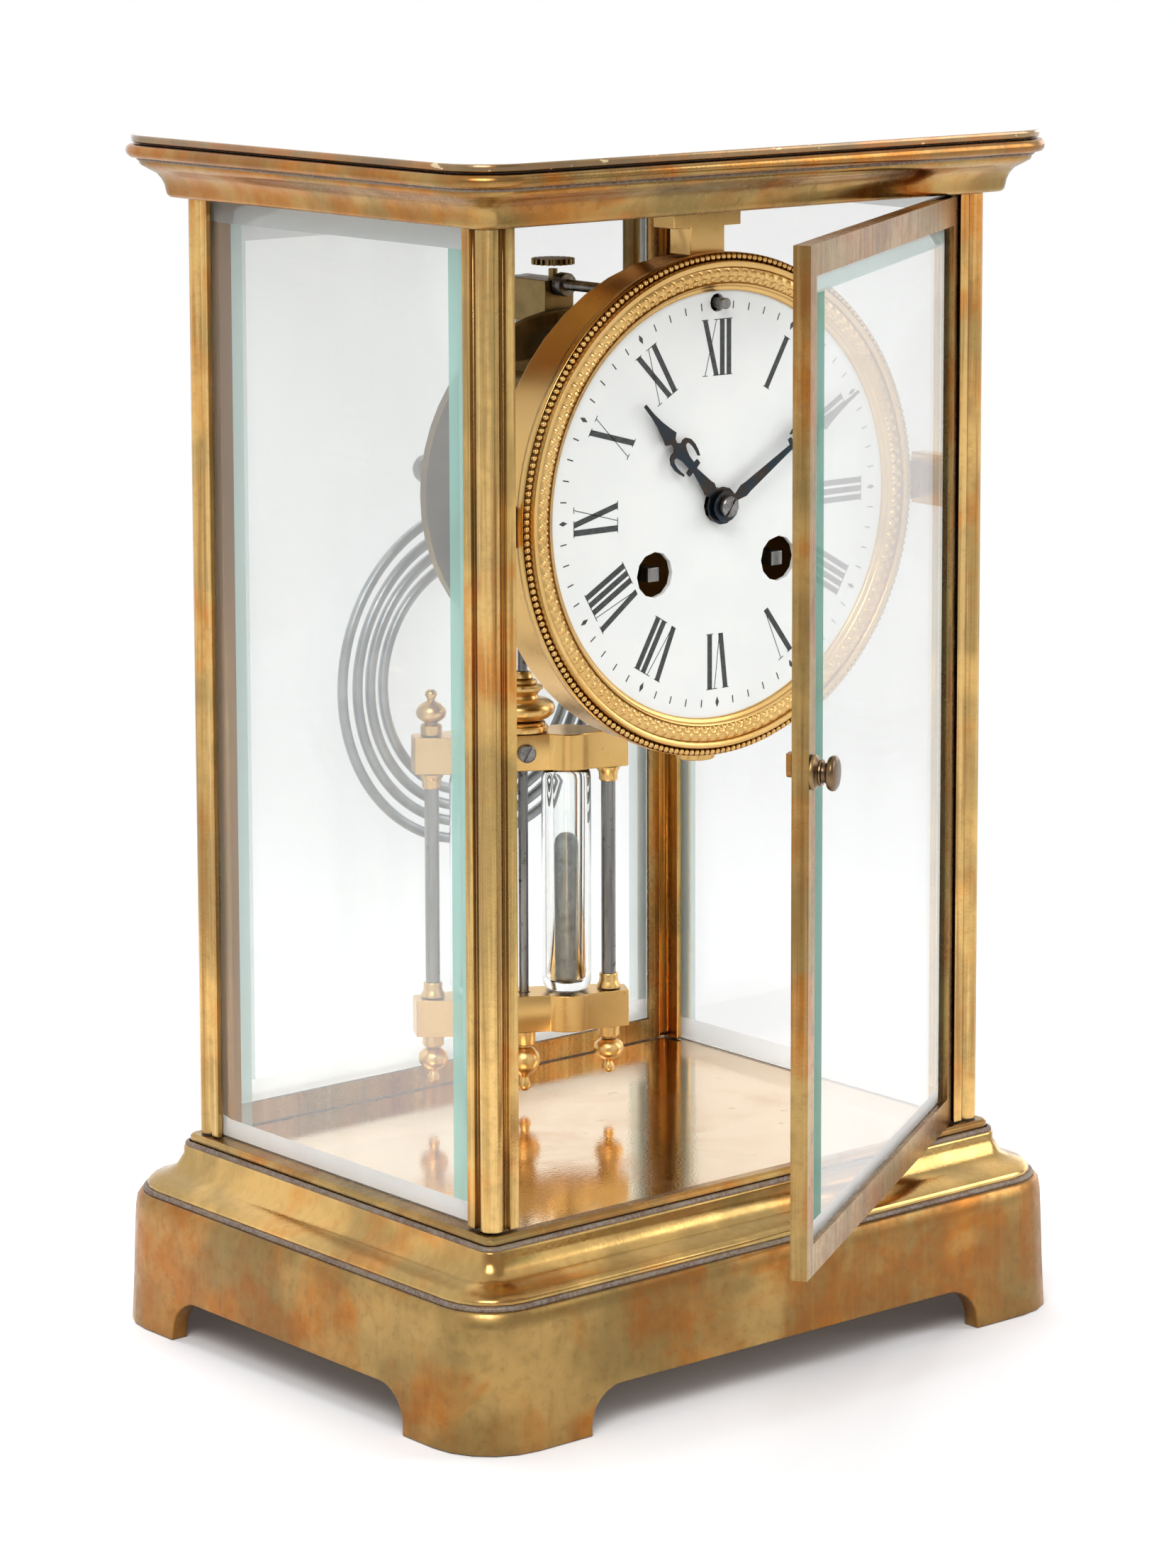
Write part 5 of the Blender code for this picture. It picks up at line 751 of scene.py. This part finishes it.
def make_dial_paint():
    numerals = bmesh.new()
    for hour, word in enumerate(NUMERALS):
        angle = math.tau * hour / 12
        x = -sum(ADVANCE[letter] for letter in word) / 2
        for letter in word:
            x += ADVANCE[letter] / 2
            for outline in letter_outlines(letter, x):
                placed = on_dial([(u, NUMERAL_FOOT + v) for u, v in outline], angle)
                prism_into(numerals, placed, -PAINT_DEPTH, 0.0)
            x += ADVANCE[letter] / 2
    marks = bmesh.new()
    for minute in range(60):
        mark = MINUTE_MARK if minute % 5 else FIFTH_MARK
        prism_into(marks, on_dial(mark, math.tau * minute / 60), -PAINT_DEPTH, 0.0)
    for name, bm in (("dial_numerals", numerals), ("dial_minute_marks", marks)):
        add_piece(name, mesh_from(name, bm), "case", "enamel", matrix=DIAL_PLACE, material=PAINT)


make_dial_paint()

# The bezel: plain inner ring, engraved band, flat band and a ring of beads
SCALLOPS = 122
BEZEL_STEPS = SCALLOPS * 12
BEZEL_INNER = (
    (0.0450, -0.0003), (0.0450, 0.0004), (0.0453, 0.0007), (0.0459, 0.0009), (0.0460, 0.0012),
    (0.0465, 0.00145), (0.0466, 0.0011),
)
BEZEL_OUTER = (
    (0.0499, 0.0011), (0.0500, 0.0018), (0.0502, 0.0020), (0.0511, 0.0020), (0.0513, 0.0017),
    (0.0514, 0.0007), (0.0517, 0.0004), (0.0526, 0.0004), (0.0529, 0.0006), (0.0530, 0.0005),
    (0.0530, -0.0013), (0.0527, -0.0016), (0.0455, -0.0016),
)
# The engraved band's radii and section, then its arches and its dots
BAND_LOW, BAND_HIGH = 0.04675, 0.04985
BAND_MARGIN = 1e-6
BAND_ROWS = 18
BAND_BASE = 0.00115
BAND_SWELL = 0.00035
BAND_SLOPE = 0.00025
ARCH_FOOT = 0.0469
ARCH_RADIUS = 0.00105
ARCH_RISE = 0.00036
ARCH_WIDTH = 0.00020
DOTS = ((0.0, 0.04735), (-0.00122, 0.04895), (0.00122, 0.04895))
DOT_RISE = 0.00052
DOT_WIDTH = 0.00036
BEADS = 226
BEAD_RING = 0.05215
BEAD_HEIGHT = 0.00085
BEAD_RADIUS = 0.00066


def band_relief(angle, radius):
    """Height of the engraved band: a row of small arches with a dot in each and dots between them."""
    pitch = math.tau / SCALLOPS
    across = ((angle / pitch) % 1.0 - 0.5) * pitch * radius
    arch = math.hypot(across, radius - ARCH_FOOT)
    height = ARCH_RISE * math.exp(-((arch - ARCH_RADIUS) / ARCH_WIDTH) ** 2)
    for dot_x, dot_r in DOTS:
        height += DOT_RISE * math.exp(-((across - dot_x) ** 2 + (radius - dot_r) ** 2) / DOT_WIDTH ** 2)
    return height


def make_bezel():
    band = []
    for row in range(BAND_ROWS + 1):
        share = row / BAND_ROWS
        band.append((BAND_LOW + (BAND_HIGH - BAND_LOW) * share,
                     BAND_BASE + BAND_SWELL * math.sin(math.pi * share) + BAND_SLOPE * share))
    bm = bmesh.new()
    rings = []
    for radius, height in (*BEZEL_INNER, *band, *BEZEL_OUTER):
        engraved = BAND_LOW + BAND_MARGIN < radius < BAND_HIGH - BAND_MARGIN
        ring = []
        for i in range(BEZEL_STEPS):
            angle = math.tau * i / BEZEL_STEPS
            rise = height + (band_relief(angle, radius) if engraved else 0.0)
            ring.append(bm.verts.new((radius * math.cos(angle), -rise, radius * math.sin(angle))))
        rings.append(ring)
    bridge(bm, rings)
    add_piece("bezel_ring", mesh_from("bezel_ring", bm), "case", "gilt_brass", ("bezel",), DIAL_PLACE,
              angle=50.0)
    bm = bmesh.new()
    for i in range(BEADS):
        angle = math.tau * i / BEADS
        place = (BEAD_RING * math.cos(angle), -BEAD_HEIGHT, BEAD_RING * math.sin(angle))
        bmesh.ops.create_icosphere(bm, subdivisions=2, radius=BEAD_RADIUS,
                                   matrix=Matrix.Translation(place))
    add_piece("bezel_beads", mesh_from("bezel_beads", bm), "case", "gilt_brass", matrix=DIAL_PLACE,
              angle=80.0)


make_bezel()

# Screw heads: levels in shares of the height, and the top face as a share of the radius
SLOT_WIDTH = 0.0005
SLOT_FLOOR = 0.45
HEAD_SHOULDER = 0.75
HEAD_FACE = 0.86
HEAD_STEPS = 40
ARC_STEPS = 20


def slotted_head(name, node, body, radius, height, matrix):
    """A steel screw head with a rounded rim and a saw slot, along local Z."""
    bm = bmesh.new()
    floor = height * SLOT_FLOOR
    lathe_into(bm, [(0.0, 0.0), (radius, 0.0), (radius, floor), (0.0, floor)], HEAD_STEPS)
    half = SLOT_WIDTH / 2
    start = math.asin(half / radius)
    arc = [start + (math.pi - 2 * start) * i / ARC_STEPS for i in range(ARC_STEPS + 1)]
    for side in (-1, 1):
        rim = [(side * radius * math.cos(angle), side * radius * math.sin(angle)) for angle in arc]
        face = [(x * HEAD_FACE, side * half + (y - side * half) * HEAD_FACE) for x, y in rim]
        levels = ((rim, floor), (rim, height * HEAD_SHOULDER), (face, height))
        rings = [[bm.verts.new((x, y, z)) for x, y in outline] for outline, z in levels]
        bridge(bm, rings)
        bm.faces.new(rings[-1])
    add_piece(name, mesh_from(name, bm), body, "steel", (node,), matrix, angle=28.0)


NUT_LOW, NUT_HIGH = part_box("hand_nut")
slotted_head("centre_screw", "hand_nut", "minute", radius=0.0022, height=NUT_HIGH.y - NUT_LOW.y,
             matrix=facing((0.0, NUT_HIGH.y, DIAL_Z), spin=55.0))

# The rating gear on the suspension bracket. A tooth's corners are shares of a pitch and of the radius
CROWN_TEETH = 20
CROWN_THICKNESS = 0.0013
CROWN_DROP = 0.00025
TOOTH = ((-0.30, 0.84), (-0.16, 1.0), (0.16, 1.0), (0.30, 0.84))
CROWN_BOSS = ((0.0, 0.00025), (0.0015, 0.00025), (0.0015, -0.00005), (0.0018, -0.0002))
STEM_RADIUS = 0.0010
STEM_TOP = -0.0010


def make_crown_wheel():
    low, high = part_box("crown_wheel")
    radius = (high.x - low.x) / 2
    outline = []
    for tooth in range(CROWN_TEETH):
        for share, reach in TOOTH:
            angle = math.tau * (tooth + share) / CROWN_TEETH
            outline.append((radius * reach * math.cos(angle), radius * reach * math.sin(angle)))
    bm = bmesh.new()
    prism_into(bm, outline, 0.0, CROWN_THICKNESS)
    bmesh.ops.transform(bm, matrix=Matrix.Rotation(math.radians(90), 4, "X"), verts=bm.verts)
    lathe_into(bm, CROWN_BOSS, 32)
    foot = low.z - high.z
    lathe_into(bm, [(STEM_RADIUS, STEM_TOP), (STEM_RADIUS, foot), (0.0, foot)], 32)
    bmesh.ops.translate(bm, vec=(0.0, 0.0, -CROWN_DROP), verts=bm.verts)
    place = Matrix.Translation((0.0, JOINTS["crown_turn"].y, high.z))
    add_piece("crown_gear", mesh_from("crown_gear", bm), "crown", "dark_brass", ("crown_wheel",), place,
              angle=30.0)


make_crown_wheel()

# The gong: one wire wound inwards
GONG_WIRE = 0.00115
GONG_RADIUS = 0.0393
GONG_CENTRE_X = 0.0042
GONG_DROP = 0.0482
GONG_FIRST_PITCH = 0.0044
GONG_PITCH = 0.00352
GONG_TURNS = 4.08
GONG_START = math.radians(60.0)
GONG_STEPS = 96
GONG_SIDES = 14


def make_gong():
    low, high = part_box("gong_coil")
    centre = Vector((GONG_CENTRE_X, (low.y + high.y) / 2, DIAL_Z - GONG_DROP))
    bm = bmesh.new()
    rings = []
    for index in range(round(GONG_TURNS * GONG_STEPS) + 1):
        turn = index / GONG_STEPS
        angle = GONG_START + math.tau * turn
        radius = GONG_RADIUS - GONG_FIRST_PITCH * min(turn, 1.0) - GONG_PITCH * max(turn - 1.0, 0.0)
        outward = Vector((math.cos(angle), 0.0, math.sin(angle)))
        middle = centre + Vector((radius * math.cos(angle), 0.0, radius * math.sin(angle)))
        ring = []
        for side in range(GONG_SIDES):
            around = math.tau * side / GONG_SIDES
            reach = outward * math.cos(around) + Vector((0, math.sin(around), 0))
            ring.append(bm.verts.new(middle + GONG_WIRE * reach))
        rings.append(ring)
    bridge(bm, rings)
    bm.faces.new(rings[0])
    bm.faces.new(rings[-1])
    add_piece("gong_spiral", mesh_from("gong_spiral", bm), "case", "gong_steel", ("gong_coil",),
              angle=50.0)


make_gong()

# The pendulum. The profiles are shares of a radius and a height, from the free end to the foot
BOB_YAW = -29.0
BOB_TURN = (Matrix.Translation((0.0, JOINTS["pendulum_swing"].y, 0.0))
            @ Matrix.Rotation(math.radians(BOB_YAW), 4, "Z"))
FINIAL = (
    (0.0, 1.0), (0.24, 0.985), (0.38, 0.93), (0.40, 0.88), (0.28, 0.80), (0.24, 0.765), (0.30, 0.735),
    (0.62, 0.68), (0.90, 0.59), (1.0, 0.49), (0.92, 0.38), (0.62, 0.30), (0.42, 0.265), (0.42, 0.235),
    (0.62, 0.225), (0.70, 0.20), (0.70, 0.0),
)
COLLAR = (
    (0.19, 1.0), (0.26, 0.985), (0.30, 0.95), (0.33, 0.90), (0.29, 0.87), (0.42, 0.855), (0.46, 0.82),
    (0.42, 0.785), (0.52, 0.775), (0.62, 0.745), (0.62, 0.70), (0.52, 0.665), (0.45, 0.60),
    (0.50, 0.555), (0.78, 0.525), (0.95, 0.46), (1.0, 0.38), (0.96, 0.30), (0.80, 0.225), (0.60, 0.185),
    (0.56, 0.165), (0.66, 0.155), (0.70, 0.13), (0.68, 0.10), (0.76, 0.09), (0.78, 0.05), (0.76, 0.0),
)
# The gilt cup at either end of a rod, in metres
CUP = (
    (0.0, 0.0), (0.0026, 0.0), (0.0026, 0.0006), (0.0022, 0.0012), (0.00205, 0.0022), (0.0021, 0.0029),
    (0.00195, 0.0032), (0.0016, 0.0032),
)
COLLAR_RADIUS = 0.0072
FINIAL_RADIUS = 0.0034
RATING_RADIUS = 0.0036
ROD_OFFSET = 0.0192
ROD_RADIUS = 0.0016
JAR_OFFSET = 0.0097
JAR_RADIUS = 0.0055
JAR_BORE = 0.0031
MERCURY_RADIUS = 0.00285
PLATE_HALF_DEPTH = 0.0046


def make_rod(name, side, upper, lower):
    """A steel rod between the plates, with its gilt cups and the finials above and below."""
    low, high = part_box(name + "_side_rod")
    place = BOB_TURN @ Matrix.Translation((side * ROD_OFFSET, 0.0, 0.0))
    top, foot = upper[0].z - SEAT, lower[1].z + SEAT
    bm = bmesh.new()
    lathe_into(bm, [(0.0, foot), (ROD_RADIUS, foot), (ROD_RADIUS, top), (0.0, top)], 32)
    add_piece(name + "_rod_steel", mesh_from(name, bm), "pendulum", "steel", (name + "_side_rod",),
              place)
    above = upper[1].z
    below = lower[0].z
    bm = bmesh.new()
    finial = scaled(FINIAL[::-1], FINIAL_RADIUS, high.z - above - SEAT, above + SEAT)
    lathe_into(bm, [(0.0, above + 0.0001)] + finial, 40)
    drop = scaled(FINIAL[::-1], FINIAL_RADIUS, below - low.z - SEAT, below)
    lathe_into(bm, [(x, below - SEAT - (z - below)) for x, z in [(0.0, below)] + drop], 40)
    lathe_into(bm, [(x, foot + z) for x, z in CUP], 40)
    lathe_into(bm, [(x, top - z) for x, z in CUP], 40)
    add_piece(name + "_rod_gilding", mesh_from(name, bm), "pendulum", "gilt_brass", matrix=place,
              angle=40.0)


def make_vial(name, side):
    """A glass jar with its column of mercury."""
    place = BOB_TURN @ Matrix.Translation((side * JAR_OFFSET, 0.0, 0.0))
    low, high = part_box(name + "_vial")
    foot, top = low.z, high.z
    profile = [(0.0, foot), (0.0034, foot), (0.0047, foot + 0.0005), (0.0053, foot + 0.0014),
               (JAR_RADIUS, foot + 0.0028), (JAR_RADIUS, top - 0.0020), (0.0053, top - 0.0008),
               (0.0049, top - 0.0001), (0.0045, top), (0.0036, top), (0.0032, top - 0.0004),
               (JAR_BORE, top - 0.0012), (JAR_BORE, foot + 0.0030), (0.0024, foot + 0.0021),
               (0.0, foot + 0.0017)]
    add_piece(name + "_jar", lathe(name + "_jar", profile, 64), "pendulum", "glass", (name + "_vial",),
              place, angle=60.0)
    low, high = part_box(name + "_mercury")
    radius = MERCURY_RADIUS
    profile = [(0.0, low.z), (radius * 0.8, low.z + 0.0003), (radius, low.z + 0.0012),
               (radius, high.z - 0.0022), (radius * 0.9, high.z - 0.0010),
               (radius * 0.6, high.z - 0.0002), (0.0, high.z)]
    add_piece(name + "_mercury_column", lathe(name + "_column", profile), "pendulum", "mercury",
              (name + "_mercury",), place, angle=60.0)


def make_pendulum():
    dress("pendulum_rod", 0.0001)
    dress("upper_plate", 0.0003)
    dress("lower_plate", 0.0003)
    low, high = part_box("pendulum_knob")
    collar = lathe("pendulum_collar", scaled(COLLAR, COLLAR_RADIUS, high.z - low.z, low.z), 64)
    add_piece("pendulum_collar", collar, "pendulum", "gilt_brass", ("pendulum_knob",), BOB_TURN,
              angle=40.0)
    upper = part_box("upper_plate")
    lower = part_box("lower_plate")
    for name, side in (("left", -1), ("right", 1)):
        make_rod(name, side, upper, lower)
        make_vial(name, side)
    low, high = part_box("rating_finial")
    finial = [(0.0, 0.0)] + scaled(FINIAL[::-1], RATING_RADIUS, high.z - low.z)
    add_piece("rating_nut", lathe("rating_nut", [(x, high.z - z) for x, z in finial]), "pendulum",
              "gilt_brass", ("rating_finial",), BOB_TURN, angle=40.0)
    screw = (0.0, -PLATE_HALF_DEPTH - SEAT, (upper[0].z + upper[1].z) / 2)
    slotted_head("plate_screw_head", "plate_screw", "pendulum", radius=0.0020, height=0.0011,
                 matrix=BOB_TURN @ facing(screw, spin=62.0))


make_pendulum()

# The door knobs: the profile is in shares, from the face of the knob to its seat
DOOR_KNOB = (
    (0.0, 1.0), (0.55, 0.99), (0.84, 0.955), (0.97, 0.89), (1.0, 0.82), (0.985, 0.73), (0.90, 0.64),
    (0.66, 0.575), (0.58, 0.54), (0.56, 0.47), (0.60, 0.40), (0.74, 0.37), (0.76, 0.32), (0.70, 0.26),
    (0.80, 0.17), (0.96, 0.11), (1.0, 0.06), (1.0, 0.0), (0.26, 0.0),
)
KNOB_RADIUS = 0.0035
KNOB_LENGTH = 0.0053
SPINDLE_RADIUS = 0.0009
SPINDLE_DEPTH = 0.0048
KNOBS = (("front_door_knob", "front_knob_turn", 32.5), ("rear_door_knob", "rear_knob_turn", 180.0))


def make_knobs():
    profile = scaled(DOOR_KNOB, KNOB_RADIUS, KNOB_LENGTH - SEAT, SEAT)
    profile += [(SPINDLE_RADIUS, 0.0), (SPINDLE_RADIUS, -SPINDLE_DEPTH), (0.0, -SPINDLE_DEPTH)]
    for node, joint, yaw in KNOBS:
        add_piece(node + "_turned", lathe(node, profile), BODY_OF[node], "bronze", (node,),
                  facing(JOINTS[joint], yaw), angle=40.0)


make_knobs()

# The floor, the light and the camera
WHITE = (1.0, 1.0, 1.0, 1.0)
FLOOR_SIZE = 30.0
FLOOR_BOUNCE = (0.80, 0.80, 0.80)
FLOOR_SEEN = (1.09, 1.09, 1.11)
FADE_START = 0.20
FADE_END = 0.75
FADE_LEAST = 0.04
LAMP_AIM = (0.0, 0.02, 0.12)
# How reflections show the room from front to back: where its shade starts and ends, and both levels
ROOM_SHADE = (-0.55, 0.35, 0.47, 1.12)
# What else they show: a card's direction, where its soft edge starts and ends, and its level
DARK_CARDS = (((-0.655, -0.756, 0.0), 0.965, 0.988, 0.30), ((-0.966, -0.259, 0.0), 0.980, 0.995, 0.35))
BRIGHT_CARD = ((0.963, 0.266, -0.05), 0.90, 0.97, 1.35)
# The room's level for light that isn't seen in a reflection
ROOM_LEVEL = 0.34


def make_stage():
    """A white floor that fades into the white room away from the clock."""
    bm = bmesh.new()
    bmesh.ops.create_grid(bm, x_segments=2, y_segments=2, size=FLOOR_SIZE)
    mesh = bpy.data.meshes.new("studio_floor")
    bm.to_mesh(mesh)
    bm.free()
    graph = new_finish("studio_floor_paint")
    path = graph.add("ShaderNodeLightPath").outputs
    indirect = graph.calc("MAXIMUM", path["Is Glossy Ray"], path["Is Transmission Ray"])
    seen = graph.calc("MAXIMUM", path["Is Camera Ray"], indirect)
    pale = graph.blend(seen, FLOOR_BOUNCE, FLOOR_SEEN)
    paint = graph.add("ShaderNodeBsdfDiffuse", {"Color": pale}).outputs[0]
    white = graph.add("ShaderNodeEmission", {"Color": WHITE, "Strength": 1.0}).outputs[0]
    away = graph.add("ShaderNodeVectorMath", {0: graph.place}, operation="LENGTH").outputs["Value"]
    share = graph.calc("MULTIPLY", seen, graph.span(away, FADE_START, FADE_END, FADE_LEAST, 1.0))
    mesh.materials.append(graph.finish(graph.mix_shaders(share, paint, white)))
    floor = bpy.data.objects.new("studio_floor", mesh)
    bpy.context.scene.collection.objects.link(floor)


def make_world():
    """A white room. Reflections show it darker in front, with two dark cards and a bright one."""
    graph = Graph(bpy.data.worlds.new("studio"), "ShaderNodeOutputWorld", "Generated")
    path = graph.add("ShaderNodeLightPath").outputs
    depth = graph.add("ShaderNodeSeparateXYZ", {0: graph.place}).outputs["Y"]

    def toward(direction, low, high, first, last):
        """A soft-edged round patch around a direction."""
        near = graph.add("ShaderNodeVectorMath", {0: graph.place, 1: direction},
                         operation="DOT_PRODUCT").outputs["Value"]
        return graph.span(near, low, high, first, last)

    walls = graph.span(depth, *ROOM_SHADE)
    for direction, low, high, level in DARK_CARDS:
        walls = graph.calc("MULTIPLY", walls, toward(direction, low, high, 1.0, level))
    direction, low, high, level = BRIGHT_CARD
    walls = graph.calc("ADD", walls, toward(direction, low, high, 0.0, level))
    glossy = graph.calc("MULTIPLY", path["Is Glossy Ray"], walls)
    plain = graph.calc("MULTIPLY", graph.calc("SUBTRACT", 1.0, path["Is Glossy Ray"]), ROOM_LEVEL)
    white = graph.calc("MAXIMUM", path["Is Camera Ray"], path["Is Transmission Ray"])
    strength = graph.calc("MAXIMUM", graph.calc("ADD", glossy, plain), white)
    background = graph.add("ShaderNodeBackground", {"Color": WHITE, "Strength": strength})
    bpy.context.scene.world = graph.finish(background.outputs[0])


def make_lamp(name, place, width, height, power, mirrored=True):
    light = bpy.data.lights.new(name, "AREA")
    light.shape = "RECTANGLE"
    light.size = width
    light.size_y = height
    light.energy = power
    lamp = bpy.data.objects.new(name, light)
    lamp.location = place
    lamp.rotation_euler = (Vector(LAMP_AIM) - Vector(place)).to_track_quat("-Z", "Y").to_euler()
    lamp.visible_glossy = mirrored
    bpy.context.scene.collection.objects.link(lamp)


def make_camera():
    azimuth, pitch, roll = (math.radians(a) for a in (CAMERA_AZIMUTH, CAMERA_PITCH, CAMERA_ROLL))
    right = Vector((math.cos(azimuth), -math.sin(azimuth), 0.0))
    ahead = Vector((math.sin(azimuth) * math.cos(pitch), math.cos(azimuth) * math.cos(pitch),
                    -math.sin(pitch)))
    up = right.cross(ahead)
    turned_right = right * math.cos(roll) + up * math.sin(roll)
    turned_up = up * math.cos(roll) - right * math.sin(roll)
    data = bpy.data.cameras.new("camera")
    data.sensor_fit = "AUTO"
    data.sensor_width = 36.0
    data.lens = CAMERA_LENS
    data.shift_y = CAMERA_SHIFT
    data.clip_start = 0.01
    camera = bpy.data.objects.new("camera", data)
    basis = Matrix((turned_right, turned_up, -ahead)).transposed().to_4x4()
    camera.matrix_world = Matrix.Translation(CAMERA_PLACE) @ basis
    bpy.context.scene.collection.objects.link(camera)
    bpy.context.scene.camera = camera


make_stage()
make_world()
make_lamp("key", (-1.1, -1.0, 1.5), width=0.9, height=0.9, power=19.5)
make_lamp("fill", (1.5, -1.0, 0.9), width=0.8, height=1.2, power=10.5)
make_lamp("top", (0.1, 0.5, 1.6), width=1.2, height=1.2, power=17.0, mirrored=False)
make_camera()

bpy.context.scene.view_settings.view_transform = "Standard"
